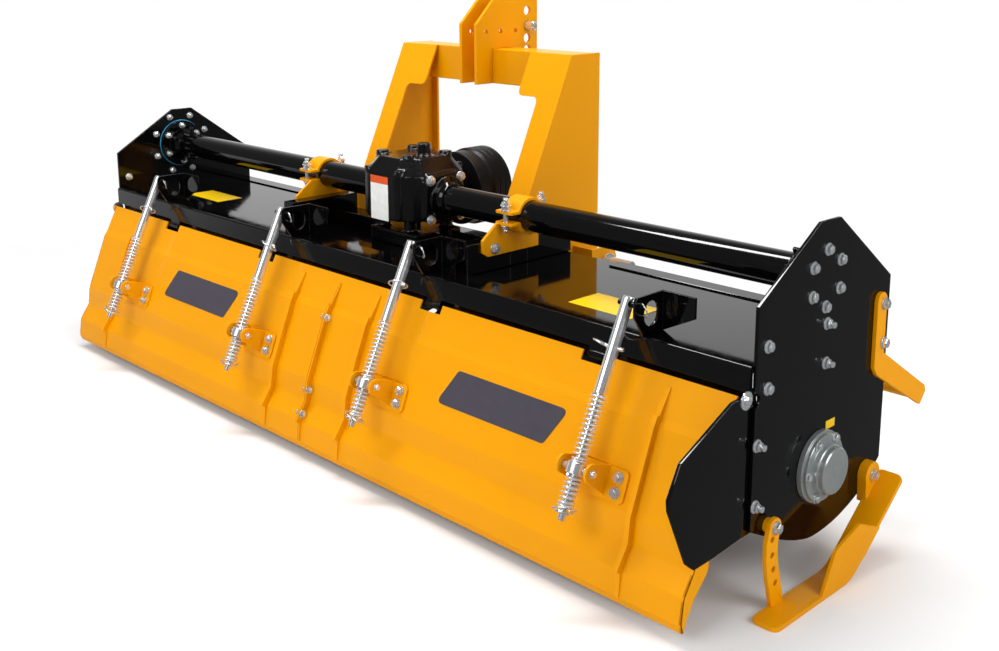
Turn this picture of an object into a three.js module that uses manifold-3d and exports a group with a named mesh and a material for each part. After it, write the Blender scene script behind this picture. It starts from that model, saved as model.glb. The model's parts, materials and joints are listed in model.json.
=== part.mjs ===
// Rotary tiller for a three-point linkage: a hooded rotor between two side plates, a gearbox
// on a cross tube, a hitch tower, and a sprung tailgate. Millimetres, +X to the machine's right
// seen from behind, +Y forward to the tractor, +Z up. The working frame of the dimensions has
// x = 0 at mid-width, y = 0 at the rotor axis and z = 0 at the skid soles; the exported group
// is moved along Y so that its origin is at the bottom centre of the machine's box.

import * as THREE from 'three';
import { mergeVertices } from 'three/addons/utils/BufferGeometryUtils.js';
import Module from 'manifold-3d';

const wasm = await Module();
wasm.setup();

// ---------------------------------------------------------------- driving dimensions

const GAP = 0.3; // between pieces that touch
const WELD = 0.001; // corners nearer than this are one
const OVER = 1; // reach of a cutter past a face, or of a welded piece into its neighbour
const ROUND = 24; // sides of a large round
const SMALL_ROUND = 12; // sides of a small round
const ROTOR_ROUND = 16; // sides of the rotor's flanges and tube

const WIDTH = 2500; // over the side plates
const PLATE_T = 8; // side plate
const REAR_EDGE_Y = -231; // side plate, rear edge
const FRONT_EDGE_Y = 265; // side plate, front edge
const REAR_SHOULDER_Z = 626;
const FRONT_SHOULDER_Z = 595;
const PLATE_BOTTOM_EDGE = [ // points of its smooth curve
  [REAR_EDGE_Y, 180], [-124, 126], [-40, 95], [20, 88], [108, 99], [202, 134], [FRONT_EDGE_Y, 183],
];
const PLATE_EDGE_STEPS = 18; // along that curve
const PLATE_CROWN = 116; // top edge of the side plate above the tube axis
const PLATE_APEX = [-27, 46]; // top edge, rear and front end
const PLATE_NOTCH_R = 15; // in the rear edge, for the tailgate's hinge

const ROTOR_Z = 245.5;
const TINE_R = 234;
const ROTOR_SHAFT_R = 42;
const STUB_R = 30;
const SHAFT_CLEARANCE = 0.5; // radial, round a stub in its bearing
const PLATE_HOLE_CLEARANCE = 22; // radial, round a stub in its side plate
const FLANGE_R = 95;
const FLANGE_T = 10;
const FLANGE_COUNT = 10;
const BLADES_PER_SIDE = 3;
const BLADE_T = 8;
const BLADE_W = 68;
const BLADE_REACH = 88; // sideways, from the flange face
const BLADE_BEND_R = 40;
const BLADE_BEND_STEPS = 3;
const BLADE_SWEEP = 18; // the wing trails the shank
const BLADE_ROOT = 12; // gap from the shaft to a blade's root
const BLADE_INSET = 2; // of a shank in its flange's face
const END_FLANGE_INSET = 134; // last flange from the side plate
const STAGGER = 22; // degrees from one flange's blades to the next
const ROTOR_PHASE = -48; // degrees of the first flange's blades
const SHAFT_END_GAP = 6; // rotor tube to side plate
const STUB_END_GAP = 4; // stub to the bottom of its bearing

const TUBE_Z = 638;
const TUBE_R = 38;
const TUBE_FLANGE_R = 76;
const TUBE_FLANGE_T = 12;
const TUBE_NECK = [48, 46]; // radius, and length from the side plate
const TUBE_COLLAR = [60, 14]; // radius and length, at the gearbox

const HOOD_Z = 505; // top face
const HOOD_T = 4;
const HOOD_REAR_Y = -234;
const HOOD_FRONT_TOP_Y = 200;
const HOOD_FRONT_Y = 252;
const HOOD_SLOPE_Z = 430;
const HOOD_FRONT_BOTTOM_Z = 335;
const HOOD_REAR_LIP = 38;
const HOOD_SEAL = [[-220, 452], [-220, 425]]; // strip in front of the hinge, that carries on the lip

const REAR_BEAM_Y = -240; // rear face
const REAR_BEAM_DEPTH = 75;
const REAR_BEAM_RISE = 7; // over the hood
const REAR_BEAM_BOTTOM_Z = 461;
const REAR_BEAM_T = 5;
const CROSS_BEAM_Y = [-20, 40];
const CROSS_BEAM_H = 38;

const TOWER_X = 340; // outer face of a leg
const LEG_T = 8;
const LEG_TOP_Z = 1010;
const LEG_FRONT_Y = 360;
const LEG_TOP_REAR_Y = 250;
const LEG_KNEE = [93, 661]; // a point on the slanting rear edge
const LEG_FOOT_Y = 62;
const LEG_FLANGE_W = 75;
const LEG_GUSSET_W = 150;
const LEG_GUSSET_DROP = 112; // wide part of the rear flange, from the top
const LEG_FRONT_FLANGE_W = 32;
const LEG_CLEARANCE = 5; // foot to hood
const LEG_FLANGE_START = 20; // front flange above the lower hitch
const HITCH_Z = 462; // lower link pin
const HITCH_Y = 320;
const HITCH_GAP = 61; // between leg and outer plate
const HITCH_PLATE_R = 40;
const HITCH_PLATE_T = 8;
const HITCH_PIN_R = 14;
const HITCH_PIN_REACH = 90; // beyond the outer plate
const HITCH_PIN_HEAD = [20, 10]; // radius and length
const HITCH_PIN_COLLAR = [22, 12]; // radius, and end from the outer plate
const HITCH_BACK = [8, 8]; // back plate's distance from the hood, and its thickness
const PIN_CLEARANCE = 0.5; // radial, round a fixed pin

const CROSSBAR_H = 96;
const CROSSBAR_DEPTH = 88;
const CROSSBAR_WALL = 6;
const CLEVIS_GAP = 50;
const CLEVIS_T = 10;
const CLEVIS_RISE = 140; // its top above the tower's
const CLEVIS_Y = [198, 435];
const CLEVIS_CHAMFER = 72;
const CLEVIS_LAP = 28; // below the tower's top, in front of the crossbar
const TOP_PIN_R = 12.5;
const TOP_PIN_Y = 395;
const TOP_PIN_RISE = 58; // above the tower's top
const TOP_PIN_REACH = [22, 30]; // left and right, beyond the clevis
const TOP_PIN_HEAD = [18.5, 10]; // radius and length
const TOP_PIN_ROW = [42, -35, -68]; // other holes, above and below the pin
const STORE_HOLE_R = 6;
const STORE_HOLES_Y = [235, 290, 348];
const STORE_HOLES_RISE = 46; // above the tower's top

const CHANNEL_W = 44;
const CHANNEL_Y = [-164, 205];
const CHANNEL_H = 75;
const CLAMP_W = 55;
const CLAMP_T = 8;
const CLAMP_EAR = 22; // length of an ear beyond the strap
const CLAMP_SPLIT = 10; // half the gap between the ears
const CLAMP_PLATE_Y = [-119, 74];
const CLAMP_PLATE_TOP_Y = [-66, 46];
const CLAMP_PLATE_END_H = [42, 27]; // height of its rear and front edges
const CLAMP_PLATE_CORNER = [17, 11]; // cut from its lower rear corner
const CLAMP_PLATE_T = 8;
const CLAMP_PLATE_LAP = 36; // plate over the channel's side

const GEARBOX_PLAN = [ // right rear quarter of the cast body, seen from above
  [60, -116], [96, -88], [108, -66],
];
const GEARBOX_Z = [580, 700, 742]; // bottom, shoulder, top
const GEARBOX_SHOULDER = 0.72; // the top's share of the body's plan
const GEARBOX_FRONT_Y = 112;
const GEARBOX_PAD = [66, 18]; // side cover: half its side, and its cut corners
const GEARBOX_PAD_T = 16;
const GEARBOX_POSTS = [[-70, -52], [48, -58], [-70, 56], [62, 56]]; // x and y
const GEARBOX_POST_R = 18;
const GEARBOX_POST_TOP_Z = 752;
const PEDESTAL = [96, 80, 544]; // half width, half depth, top
const BREATHER = [40, 0, 19, 776]; // x, y, radius, top
const PTO_Z = 627;
const PTO_SHAFT_R = 17.5;
const PTO_SHAFT_INNER_Y = 94;
const PTO_SHAFT_END_Y = 246;
const PTO_BORE_END_Y = 92;
const PTO_HOUSING_R = 64;
const PTO_HOUSING_Y = 160;
const GUARD_R = 108;
const GUARD_NECK_R = 102;
const GUARD_T = 4;
const GUARD_Y = [150, 192, 262]; // rear, step, front
const GUARD_STEP = 6; // length of the cone at the step

const CASE_DEPTH = 68;
const CASE_TOP_R = 88;
const CASE_BOTTOM_R = 98;
const BEARING_FLANGE_R = 76;
const BEARING_FLANGE_T = 20;
const BEARING_HUB_R = 58;
const BEARING_HUB_L = 32;
const BEARING_CAP_R = 49;
const BEARING_CAP_L = 45; // cap's outer face from the side plate
const BEARING_BLIND = 37; // depth of the bore

const HINGE = [-238, 444]; // tailgate hinge axis
const TAILGATE_RIGHT = 30; // tailgate end to the side plate's outer face, right
const TAILGATE_LEFT = 2; // and left
const TAILGATE_T = 5;
const TAILGATE_PROFILE = [
  [-245, 451], [-282, 377], [-293, 361], [-359, 194], [-366, 140], [-396, 95], [-403, 42], [-396, 24],
];
const TAILGATE_FLANGE = [48, 48, 48, 48, 36, 18, 6]; // its depth at each profile point from the second
const RIB_H = 15;
const RIB_T = 8;
const RIB_X = [-1067, -160, 0, 160, 1067];
const RIB_STATIONS = [0, 6]; // first and last profile point of a rib
const KNUCKLE_R = 9;
const KNUCKLE_W = 50;
const KNUCKLE_X = [-870, -350, 350, 870];
const KNUCKLE_NOTCH = 12; // room beside a knuckle
const HINGE_ROOM_R = 15; // in the deflector

const ROD_X = [-950, -275, 275, 950];
const ROD_TOP = [-247, 575]; // pin on the rod bracket
const ROD_END = [-437.5, 172];
const ROD_TUBE_R = 13;
const ROD_R = 8;
const ROD_TUBE_SHARE = 0.42; // of the rod's length
const BLOCK_SHARE = 0.764; // swivel block along the rod
const EYE_R = 17;
const EYE_HOLE_R = 11.5;
const EYE_PIN_R = 6;
const EYE_PIN_REACH = [21, 8]; // left of the rod's axis, and right of the bracket
const ROD_START = 6; // from the top pin's axis
const SPRING_R = 17;
const SPRING_BORE_CLEARANCE = 1;
const BLOCK_R = 21;
const BLOCK_H = 24;
const BLOCK_CLEARANCE = 0.5; // radial, round the rod
const TRUNNION_R = 7;
const TRUNNION_REACH = 8; // beyond a guide ear
const END_WASHER_R = 20;
const END_WASHER_SHARE = 0.955;
const END_WASHER_T = 5;
const BRACKET_T = 6;
const BRACKET_OFFSET = 32; // web from the rod's axis
const BRACKET_TOP_Z = 596;
const BRACKET_Y = [-268, -174];
const BRACKET_GUSSET_W = 87;
const BRACKET_GUSSET_TIP_H = 44; // at its narrow end
const BRACKET_CORNER = 8;
const BRACKET_NOSE = 18; // lowest point of its rear edge, below the pin
const BRACKET_HOLE = [-216, 556, 22]; // y, z, radius of the oval's ends
const BRACKET_HOLE_RISE = 4; // half the distance between the oval's centres
const EAR_OFFSET = 34; // guide ears from the rod's axis
const EAR_T = 6;
const EAR_R = 20;
const EAR_ARC = [75, 255]; // degrees
const EAR_FOOT = 6; // above the base plate's lower edge
const GUIDE_PLATE_X = [-46, 88]; // guide base plate about the rod's axis
const GUIDE_PLATE_T = 5;
const GUIDE_PLATE_H = 64;

const DEFLECTOR_T = 8;
const DEFLECTOR_REAR_Y = -476;
const DEFLECTOR_OUTLINE = [
  [-250, 171], [-300, 167], [-350, 163], [-396, 162], [-418, 181], [-474, 303], [DEFLECTOR_REAR_Y, 324],
  [-443, 384], [-291, 455], [-234, 457], [-207, 380], [-207, 172],
];
const ARM_T = 10;
const ARM_TIP_Y = 447;
const ARM_TOP = [218, 548];
const ARM_HALF_W = 19;
const ARM_BEND = [[-19, 404], [-5, 384], [19, 430]]; // y from the top's, and z: rear, lower rear, front
const ARM_TIP = [[-24, 262], [0, 288], [-6, 304]]; // y from the tip's, and z
const GUARD_BAR_R = 17;
const GUARD_BAR_WALL = 3.5;
const GUARD_BAR = [415, 292];
const SKID_INSET = 12; // foot's inner edge from the side plate
const SKID_W = 60;
const SKID_T = 10;
const SKID_REAR_Y = -238;
const SKID_FLAT_Y = 8; // front end of the flat sole
const SKID_BEND_R = 90;
const SKID_BEND_STEPS = 5;
const SKID_SLOPE = 37.5; // degrees, of the foot's front part
const SKID_FRONT_Y = 246;
const SKID_PIVOT = [200, 166];
const SKID_LUG_R = 29;
const SKID_LUG_ARC = [-20, 200]; // degrees
const SKID_LUG_TAPER = 4; // each flank's, at the foot
const SKID_BOSS_R = 15;
const SKID_BOSS_LAP = 2; // into the strap
const SKID_STRAP_W = 40;
const SKID_STRAP_T = 10;
const SKID_STRAP_LINE = [[-176, 178], [-184, 150], [-184, 118], [-178, 84], [-168, 50], [-156, 5]];
const SKID_RIB = [[-76, 4], [20, 4], [92, 36], [150, 80], [65, 118], [-26, 91]];
const SKID_RIB_T = 9;

// ---------------------------------------------------------------- values that follow

const PLATE_X = WIDTH / 2; // outer face
const INNER_X = PLATE_X - PLATE_T; // inner face
const CLEAR_X = INNER_X - GAP; // end of what reaches from plate to plate
const PLATE_TOP_Z = TUBE_Z + PLATE_CROWN;
const MID_Y = (DEFLECTOR_REAR_Y + ARM_TIP_Y) / 2;
const BEAM_TOP_Z = HOOD_Z + REAR_BEAM_RISE;
const CLEVIS_TOP_Z = LEG_TOP_Z + CLEVIS_RISE;
const TOP_PIN = [TOP_PIN_Y, LEG_TOP_Z + TOP_PIN_RISE];
const GEARBOX_HALF_W = GEARBOX_PLAN[GEARBOX_PLAN.length - 1][0];
const SIDES = { left: -1, right: 1 };

// ---------------------------------------------------------------- materials

const paint = (color, metalness, roughness) =>
  new THREE.MeshStandardMaterial({ color, metalness, roughness });
const YELLOW = paint(0xf0a000, 0, 0.3);
const BLACK = paint(0x0b0b0c, 0, 0.2);
const CAST_BLACK = paint(0x121213, 0, 0.45);
const ZINC = paint(0xc8ccd0, 0.9, 0.35);
const STEEL = paint(0x6b6e72, 0.8, 0.5);
const PLASTIC = paint(0x0d0d0e, 0, 0.5);

// ---------------------------------------------------------------- shape helpers

/** Closed manifold of a three.js geometry. */
function solid(geometry) {
  const bare = geometry.clone();
  bare.deleteAttribute('normal');
  bare.deleteAttribute('uv');
  const merged = mergeVertices(bare, WELD);
  const mesh = new wasm.Mesh({
    numProp: 3,
    vertProperties: new Float32Array(merged.attributes.position.array),
    triVerts: new Uint32Array(merged.index.array),
  });
  return new wasm.Manifold(mesh);
}

/** three.js geometry of a manifold. */
function geometryOf(manifold) {
  const mesh = manifold.getMesh();
  const geometry = new THREE.BufferGeometry();
  geometry.setAttribute('position', new THREE.BufferAttribute(mesh.vertProperties, 3));
  geometry.setIndex(new THREE.BufferAttribute(mesh.triVerts, 1));
  return geometry;
}

const join = (...pieces) => pieces.reduce((whole, piece) => whole.add(piece));
const cut = (whole, ...tools) => tools.reduce((rest, tool) => rest.subtract(tool), whole);

/** Points of a circular arc about (u, v), angles in degrees, both ends included. */
function arc(u, v, radius, from, to, steps) {
  const points = [];
  for (let i = 0; i <= steps; i += 1) {
    const angle = THREE.MathUtils.degToRad(from + ((to - from) * i) / steps);
    points.push([u + radius * Math.cos(angle), v + radius * Math.sin(angle)]);
  }
  return points;
}

/** Prism of an outline between two levels along its own normal. */
function prism(outline, low, high) {
  const shape = new THREE.Shape(outline.map(([u, v]) => new THREE.Vector2(u, v)));
  const geometry = new THREE.ExtrudeGeometry(shape, { depth: high - low, bevelEnabled: false });
  return geometry.translate(0, 0, low);
}

const ALONG_X = new THREE.Matrix4().set(0, 0, 1, 0, 1, 0, 0, 0, 0, 1, 0, 0, 0, 0, 0, 1);
const ALONG_Y = new THREE.Matrix4().set(1, 0, 0, 0, 0, 0, -1, 0, 0, 1, 0, 0, 0, 0, 0, 1);

/** Plate of a (y, z) outline between two x. */
const plateX = (outline, x0, x1) =>
  solid(prism(outline, Math.min(x0, x1), Math.max(x0, x1)).applyMatrix4(ALONG_X));
/** Plate of an (x, z) outline between two y. */
const plateY = (outline, y0, y1) =>
  solid(prism(outline, -Math.max(y0, y1), -Math.min(y0, y1)).applyMatrix4(ALONG_Y));
/** Box between two corners. */
function box(x0, x1, y0, y1, z0, z1) {
  const geometry = new THREE.BoxGeometry(Math.abs(x1 - x0), Math.abs(y1 - y0), Math.abs(z1 - z0));
  return solid(geometry.translate((x0 + x1) / 2, (y0 + y1) / 2, (z0 + z1) / 2));
}

/** Round bar along X at (y, z). */
function barX(radius, x0, x1, y, z, sides = ROUND) {
  const geometry = new THREE.CylinderGeometry(radius, radius, Math.abs(x1 - x0), sides);
  geometry.rotateZ(Math.PI / 2);
  return solid(geometry.translate((x0 + x1) / 2, y, z));
}

/** Round bar along Y at (x, z). */
function barY(radius, y0, y1, x, z, sides = ROUND) {
  const geometry = new THREE.CylinderGeometry(radius, radius, Math.abs(y1 - y0), sides);
  return solid(geometry.translate(x, (y0 + y1) / 2, z));
}

/** Round bar along Z at (x, y). */
function barZ(radius, z0, z1, x, y, sides = ROUND) {
  const geometry = new THREE.CylinderGeometry(radius, radius, Math.abs(z1 - z0), sides);
  geometry.rotateX(Math.PI / 2);
  return solid(geometry.translate(x, y, (z0 + z1) / 2));
}

/** Body turned about the line from one (y, z) point towards another, at x; profile is (radius, distance). */
function turned(profile, x, from, to, sides = SMALL_ROUND) {
  const geometry = new THREE.LatheGeometry(profile.map(([r, d]) => new THREE.Vector2(r, d)), sides);
  const direction = new THREE.Vector3(0, to[0] - from[0], to[1] - from[1]).normalize();
  const turn = new THREE.Quaternion().setFromUnitVectors(new THREE.Vector3(0, 1, 0), direction);
  geometry.applyQuaternion(turn);
  return solid(geometry.translate(x, from[0], from[1]));
}

/** Line of points moved sideways by a distance, to the left of its direction. */
function offsetLine(points, distance) {
  const normal = (a, b) => {
    const length = Math.hypot(b[0] - a[0], b[1] - a[1]);
    return [-(b[1] - a[1]) / length, (b[0] - a[0]) / length];
  };
  return points.map((point, i) => {
    const before = i > 0 ? normal(points[i - 1], point) : normal(point, points[i + 1]);
    const after = i < points.length - 1 ? normal(point, points[i + 1]) : before;
    const sum = [before[0] + after[0], before[1] + after[1]];
    const scale = distance / (1 + before[0] * after[0] + before[1] * after[1]);
    return [point[0] + sum[0] * scale, point[1] + sum[1] * scale];
  });
}

/** Radius of a many-sided bore in which a round of a radius can turn. */
const boreFor = (radius, clearance, sides = ROUND) => (radius + clearance) / Math.cos(Math.PI / sides);

/** Outline of a folded sheet of a thickness to the left of its line. */
const folded = (points, thickness) => [...points, ...offsetLine(points, thickness).reverse()];

/** Outline of a strap of a width about its centre line. */
function strap(points, width) {
  const near = offsetLine(points, -width / 2);
  const far = offsetLine(points, width / 2);
  return [...near, ...far.reverse()];
}

const mix = (a, b, share) => a.map((value, i) => value + (b[i] - value) * share);

/** Closed loft of convex sections with as many corners each. */
function loft(sections) {
  const vertices = sections.flat().flat();
  const indices = [];
  const ring = sections[0].length;
  for (let s = 0; s < sections.length - 1; s += 1) {
    for (let i = 0; i < ring; i += 1) {
      const a = s * ring + i;
      const b = s * ring + ((i + 1) % ring);
      indices.push(a, b, b + ring, a, b + ring, a + ring);
    }
  }
  const last = (sections.length - 1) * ring;
  for (let i = 1; i < ring - 1; i += 1) {
    indices.push(0, i + 1, i, last, last + i, last + i + 1);
  }
  const geometry = new THREE.BufferGeometry();
  geometry.setAttribute('position', new THREE.Float32BufferAttribute(vertices, 3));
  geometry.setIndex(indices);
  return geometry;
}

// ---------------------------------------------------------------- frame

function sidePlateOutline() {
  const bottom = new THREE.SplineCurve(PLATE_BOTTOM_EDGE.map(([y, z]) => new THREE.Vector2(y, z)));
  return [
    ...bottom.getPoints(PLATE_EDGE_STEPS).map(({ x, y }) => [x, y]),
    [FRONT_EDGE_Y, FRONT_SHOULDER_Z],
    [PLATE_APEX[1], PLATE_TOP_Z],
    [PLATE_APEX[0], PLATE_TOP_Z],
    [REAR_EDGE_Y, REAR_SHOULDER_Z],
  ];
}

function sidePlate(side) {
  const through = [side * (INNER_X - OVER), side * (PLATE_X + OVER)];
  const stubHole = barX(STUB_R + PLATE_HOLE_CLEARANCE, ...through, 0, ROTOR_Z);
  const notch = barX(PLATE_NOTCH_R, ...through, REAR_EDGE_Y, HINGE[1]);
  return cut(plateX(sidePlateOutline(), side * INNER_X, side * PLATE_X), stubHole, notch);
}

function hood() {
  const line = [
    [HOOD_FRONT_Y, HOOD_FRONT_BOTTOM_Z],
    [HOOD_FRONT_Y, HOOD_SLOPE_Z],
    [HOOD_FRONT_TOP_Y, HOOD_Z],
    [HOOD_REAR_Y, HOOD_Z],
    [HOOD_REAR_Y, HOOD_Z - HOOD_REAR_LIP],
    ...HOOD_SEAL,
  ];
  return plateX(folded(line, HOOD_T), -CLEAR_X, CLEAR_X);
}

function rearBeam() {
  const line = [
    [REAR_BEAM_Y + REAR_BEAM_DEPTH, HOOD_Z + GAP],
    [REAR_BEAM_Y + REAR_BEAM_DEPTH, BEAM_TOP_Z],
    [REAR_BEAM_Y, BEAM_TOP_Z],
    [REAR_BEAM_Y, REAR_BEAM_BOTTOM_Z],
  ];
  const beam = plateX(folded(line, REAR_BEAM_T), -CLEAR_X, CLEAR_X);
  const knuckles = KNUCKLE_X.map((x) => {
    const ends = [x - KNUCKLE_W / 2, x + KNUCKLE_W / 2];
    const tube = barX(KNUCKLE_R, ...ends, ...HINGE, SMALL_ROUND);
    const lug = box(...ends, REAR_BEAM_Y, REAR_BEAM_Y + REAR_BEAM_T, HINGE[1], BEAM_TOP_Z - OVER);
    return join(tube, lug);
  });
  return join(beam, ...knuckles);
}

/** Solid of the cross beam that joins the channels, larger by an extra on every side. */
function crossBeamBox(extra) {
  const reach = TOWER_X + GAP + CHANNEL_W + extra;
  const y = [CROSS_BEAM_Y[0] - extra, CROSS_BEAM_Y[1] + extra];
  const z = [HOOD_Z + GAP - extra, HOOD_Z + GAP + CROSS_BEAM_H + extra];
  return box(-reach, reach, ...y, ...z);
}

function channel(side) {
  const inner = TOWER_X + GAP;
  const z = [HOOD_Z + GAP, HOOD_Z + GAP + CHANNEL_H];
  const body = box(side * inner, side * (inner + CHANNEL_W), ...CHANNEL_Y, ...z);
  return cut(body, crossBeamBox(GAP));
}

function rodBracket(x) {
  const foot = BEAM_TOP_Z + GAP;
  const webX = x + BRACKET_OFFSET;
  const outline = [
    [REAR_BEAM_Y, foot],
    [BRACKET_Y[1], foot],
    [BRACKET_Y[1], BRACKET_TOP_Z],
    [BRACKET_Y[0] + BRACKET_CORNER, BRACKET_TOP_Z],
    [BRACKET_Y[0], BRACKET_TOP_Z - BRACKET_CORNER],
    [BRACKET_Y[0], ROD_TOP[1] - BRACKET_NOSE],
  ];
  const [holeY, holeZ, holeR] = BRACKET_HOLE;
  const oval = [
    ...arc(holeY, holeZ + BRACKET_HOLE_RISE, holeR, 0, 180, ROUND / 2),
    ...arc(holeY, holeZ - BRACKET_HOLE_RISE, holeR, 180, 360, ROUND / 2),
  ];
  const sheet = plateX(outline, webX, webX + BRACKET_T);
  const web = cut(sheet, plateX(oval, webX - OVER, webX + BRACKET_T + OVER));
  const gusset = [
    [webX, foot],
    [webX + BRACKET_T, foot],
    [webX + BRACKET_GUSSET_W, BRACKET_TOP_Z - BRACKET_GUSSET_TIP_H],
    [webX + BRACKET_GUSSET_W, BRACKET_TOP_Z],
    [webX, BRACKET_TOP_Z],
  ];
  const face = plateY(gusset, BRACKET_Y[1] - BRACKET_T, BRACKET_Y[1]);
  const [pinLeft, pinRight] = EYE_PIN_REACH;
  const pin = barX(EYE_PIN_R, x - pinLeft, webX + BRACKET_T + pinRight, ...ROD_TOP, SMALL_ROUND);
  return join(web, face, pin);
}

function rearDeflector() {
  const inner = CLEAR_X - DEFLECTOR_T;
  const hingeRoom = barX(HINGE_ROOM_R, inner - OVER, CLEAR_X + OVER, ...HINGE, SMALL_ROUND);
  return cut(plateX(DEFLECTOR_OUTLINE, inner, CLEAR_X), hingeRoom);
}

// ---------------------------------------------------------------- drive

function crossTube(side) {
  const start = side * (GEARBOX_HALF_W + GEARBOX_PAD_T + GAP);
  const end = side * CLEAR_X;
  const tube = barX(TUBE_R, start, end, 0, TUBE_Z);
  const endFlange = barX(TUBE_FLANGE_R, side * (CLEAR_X - TUBE_FLANGE_T), end, 0, TUBE_Z);
  const [neckR, neckL] = TUBE_NECK;
  const neck = barX(neckR, side * (CLEAR_X - neckL), end, 0, TUBE_Z);
  const [collarR, collarL] = TUBE_COLLAR;
  const collar = barX(collarR, start, start + side * collarL, 0, TUBE_Z);
  return join(tube, endFlange, neck, collar);
}

function gearboxPlan() {
  const rearRight = GEARBOX_PLAN;
  const frontRight = [...GEARBOX_PLAN].reverse().map(([x, y], i) => {
    const last = i === GEARBOX_PLAN.length - 1;
    return [x, last ? GEARBOX_FRONT_Y : -y];
  });
  const right = [...rearRight, ...frontRight];
  return [...right, ...right.map(([x, y]) => [-x, y]).reverse()];
}

function gearbox() {
  const plan = gearboxPlan();
  const [bottom, shoulder, top] = GEARBOX_Z;
  const crown = plan.map((point) => mix([0, 0], point, GEARBOX_SHOULDER));
  const levels = [[plan, bottom], [plan, shoulder], [crown, top]];
  const body = solid(loft(levels.map(([outline, z]) => outline.map(([x, y]) => [x, y, z]))));
  const [half, corner] = GEARBOX_PAD;
  const padOutline = [[0, 0], [1, 0], [1, 1], [0, 1]].flatMap(([right, up]) => {
    const [y, z] = [right ? half : -half, up ? half : -half];
    const across = [y - Math.sign(y) * corner, z];
    const along = [y, z - Math.sign(z) * corner];
    return right === up ? [along, across] : [across, along];
  });
  const pads = Object.values(SIDES).map((side) =>
    plateX(padOutline.map(([y, z]) => [y, z + TUBE_Z]), side * (GEARBOX_HALF_W - OVER),
      side * (GEARBOX_HALF_W + GEARBOX_PAD_T)));
  const housing = barY(PTO_HOUSING_R, GEARBOX_FRONT_Y - OVER, PTO_HOUSING_Y, 0, PTO_Z);
  const [pedestalX, pedestalY, pedestalTop] = PEDESTAL;
  const pedestal = box(-pedestalX, pedestalX, -pedestalY, pedestalY, HOOD_Z + GAP, pedestalTop);
  const posts = GEARBOX_POSTS.map(([x, y]) =>
    barZ(GEARBOX_POST_R, pedestalTop - OVER, GEARBOX_POST_TOP_Z, x, y, SMALL_ROUND));
  const [breatherX, breatherY, breatherR, breatherTop] = BREATHER;
  const breather = barZ(breatherR, top - OVER, breatherTop, breatherX, breatherY, SMALL_ROUND);
  const shaftBore = boreFor(PTO_SHAFT_R, SHAFT_CLEARANCE);
  const shaftRoom = barY(shaftBore, PTO_BORE_END_Y, PTO_HOUSING_Y + OVER, 0, PTO_Z);
  return cut(join(body, ...pads, housing, pedestal, ...posts, breather), shaftRoom, crossBeamBox(GAP));
}

function inputShaft() {
  return barY(PTO_SHAFT_R, PTO_SHAFT_INNER_Y, PTO_SHAFT_END_Y, 0, PTO_Z);
}

function ptoGuard() {
  const [rear, step, front] = GUARD_Y;
  const bore = PTO_HOUSING_R + GAP;
  const profile = [
    [bore, rear],
    [GUARD_NECK_R, rear],
    [GUARD_NECK_R, step],
    [GUARD_R, step + GUARD_STEP],
    [GUARD_R, front],
    [GUARD_R - GUARD_T, front],
    [GUARD_R - GUARD_T, step + GUARD_STEP],
    [GUARD_NECK_R - GUARD_T, step],
    [GUARD_NECK_R - GUARD_T, rear + GUARD_T],
    [bore, rear + GUARD_T],
    [bore, rear],
  ];
  const lathe = new THREE.LatheGeometry(profile.map(([r, y]) => new THREE.Vector2(r, y)), ROUND);
  return solid(lathe.translate(0, 0, PTO_Z));
}

function driveCase() {
  const outline = [
    ...arc(0, TUBE_Z, CASE_TOP_R, 0, 180, ROTOR_ROUND),
    ...arc(0, ROTOR_Z, CASE_BOTTOM_R, 180, 360, ROTOR_ROUND),
  ];
  const face = -(PLATE_X + GAP);
  const body = plateX(outline, face, face - CASE_DEPTH);
  return cut(body, barX(boreFor(STUB_R, SHAFT_CLEARANCE), face + OVER, face - BEARING_BLIND, 0, ROTOR_Z));
}

function bearingHousing() {
  const face = PLATE_X + GAP;
  const flange = barX(BEARING_FLANGE_R, face, face + BEARING_FLANGE_T, 0, ROTOR_Z);
  const hub = barX(BEARING_HUB_R, face, face + BEARING_HUB_L, 0, ROTOR_Z);
  const cap = barX(BEARING_CAP_R, face, face + BEARING_CAP_L, 0, ROTOR_Z);
  const bore = barX(boreFor(STUB_R, SHAFT_CLEARANCE), face - OVER, face + BEARING_BLIND, 0, ROTOR_Z);
  return cut(join(flange, hub, cap), bore);
}

// ---------------------------------------------------------------- rotor

/** L-shaped blade: radial along +Z from the shaft, its wing bent to +X or -X. */
function bladeGeometry(side) {
  const halfW = BLADE_W / 2;
  const outerZ = Math.sqrt(TINE_R ** 2 - (halfW + BLADE_SWEEP) ** 2);
  const centreZ = outerZ - BLADE_BEND_R;
  const start = FLANGE_T / 2 - BLADE_INSET;
  const stations = [{ x: start, z: ROTOR_SHAFT_R + BLADE_ROOT, nx: 1, nz: 0 }];
  for (let i = 0; i <= BLADE_BEND_STEPS; i += 1) {
    const angle = ((Math.PI / 2) * i) / BLADE_BEND_STEPS;
    const nx = Math.cos(angle);
    const nz = -Math.sin(angle);
    stations.push({ x: start + BLADE_BEND_R * (1 - nx), z: centreZ - BLADE_BEND_R * nz, nx, nz });
  }
  stations.push({ x: start + BLADE_REACH, z: outerZ, nx: 0, nz: -1 });
  const sections = stations.map(({ x, z, nx, nz }, i) => {
    const shift = (BLADE_SWEEP * i) / (stations.length - 1);
    const inner = [x + nx * BLADE_T, z + nz * BLADE_T];
    const low = -halfW - shift;
    const high = halfW - shift * 2;
    const corners = [[x, low, z], [x, high, z], [inner[0], high, inner[1]], [inner[0], low, inner[1]]];
    return corners.map(([cx, cy, cz]) => [side * cx, cy, cz]);
  });
  return loft(side > 0 ? sections.map((s) => [...s].reverse()) : sections);
}

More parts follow.
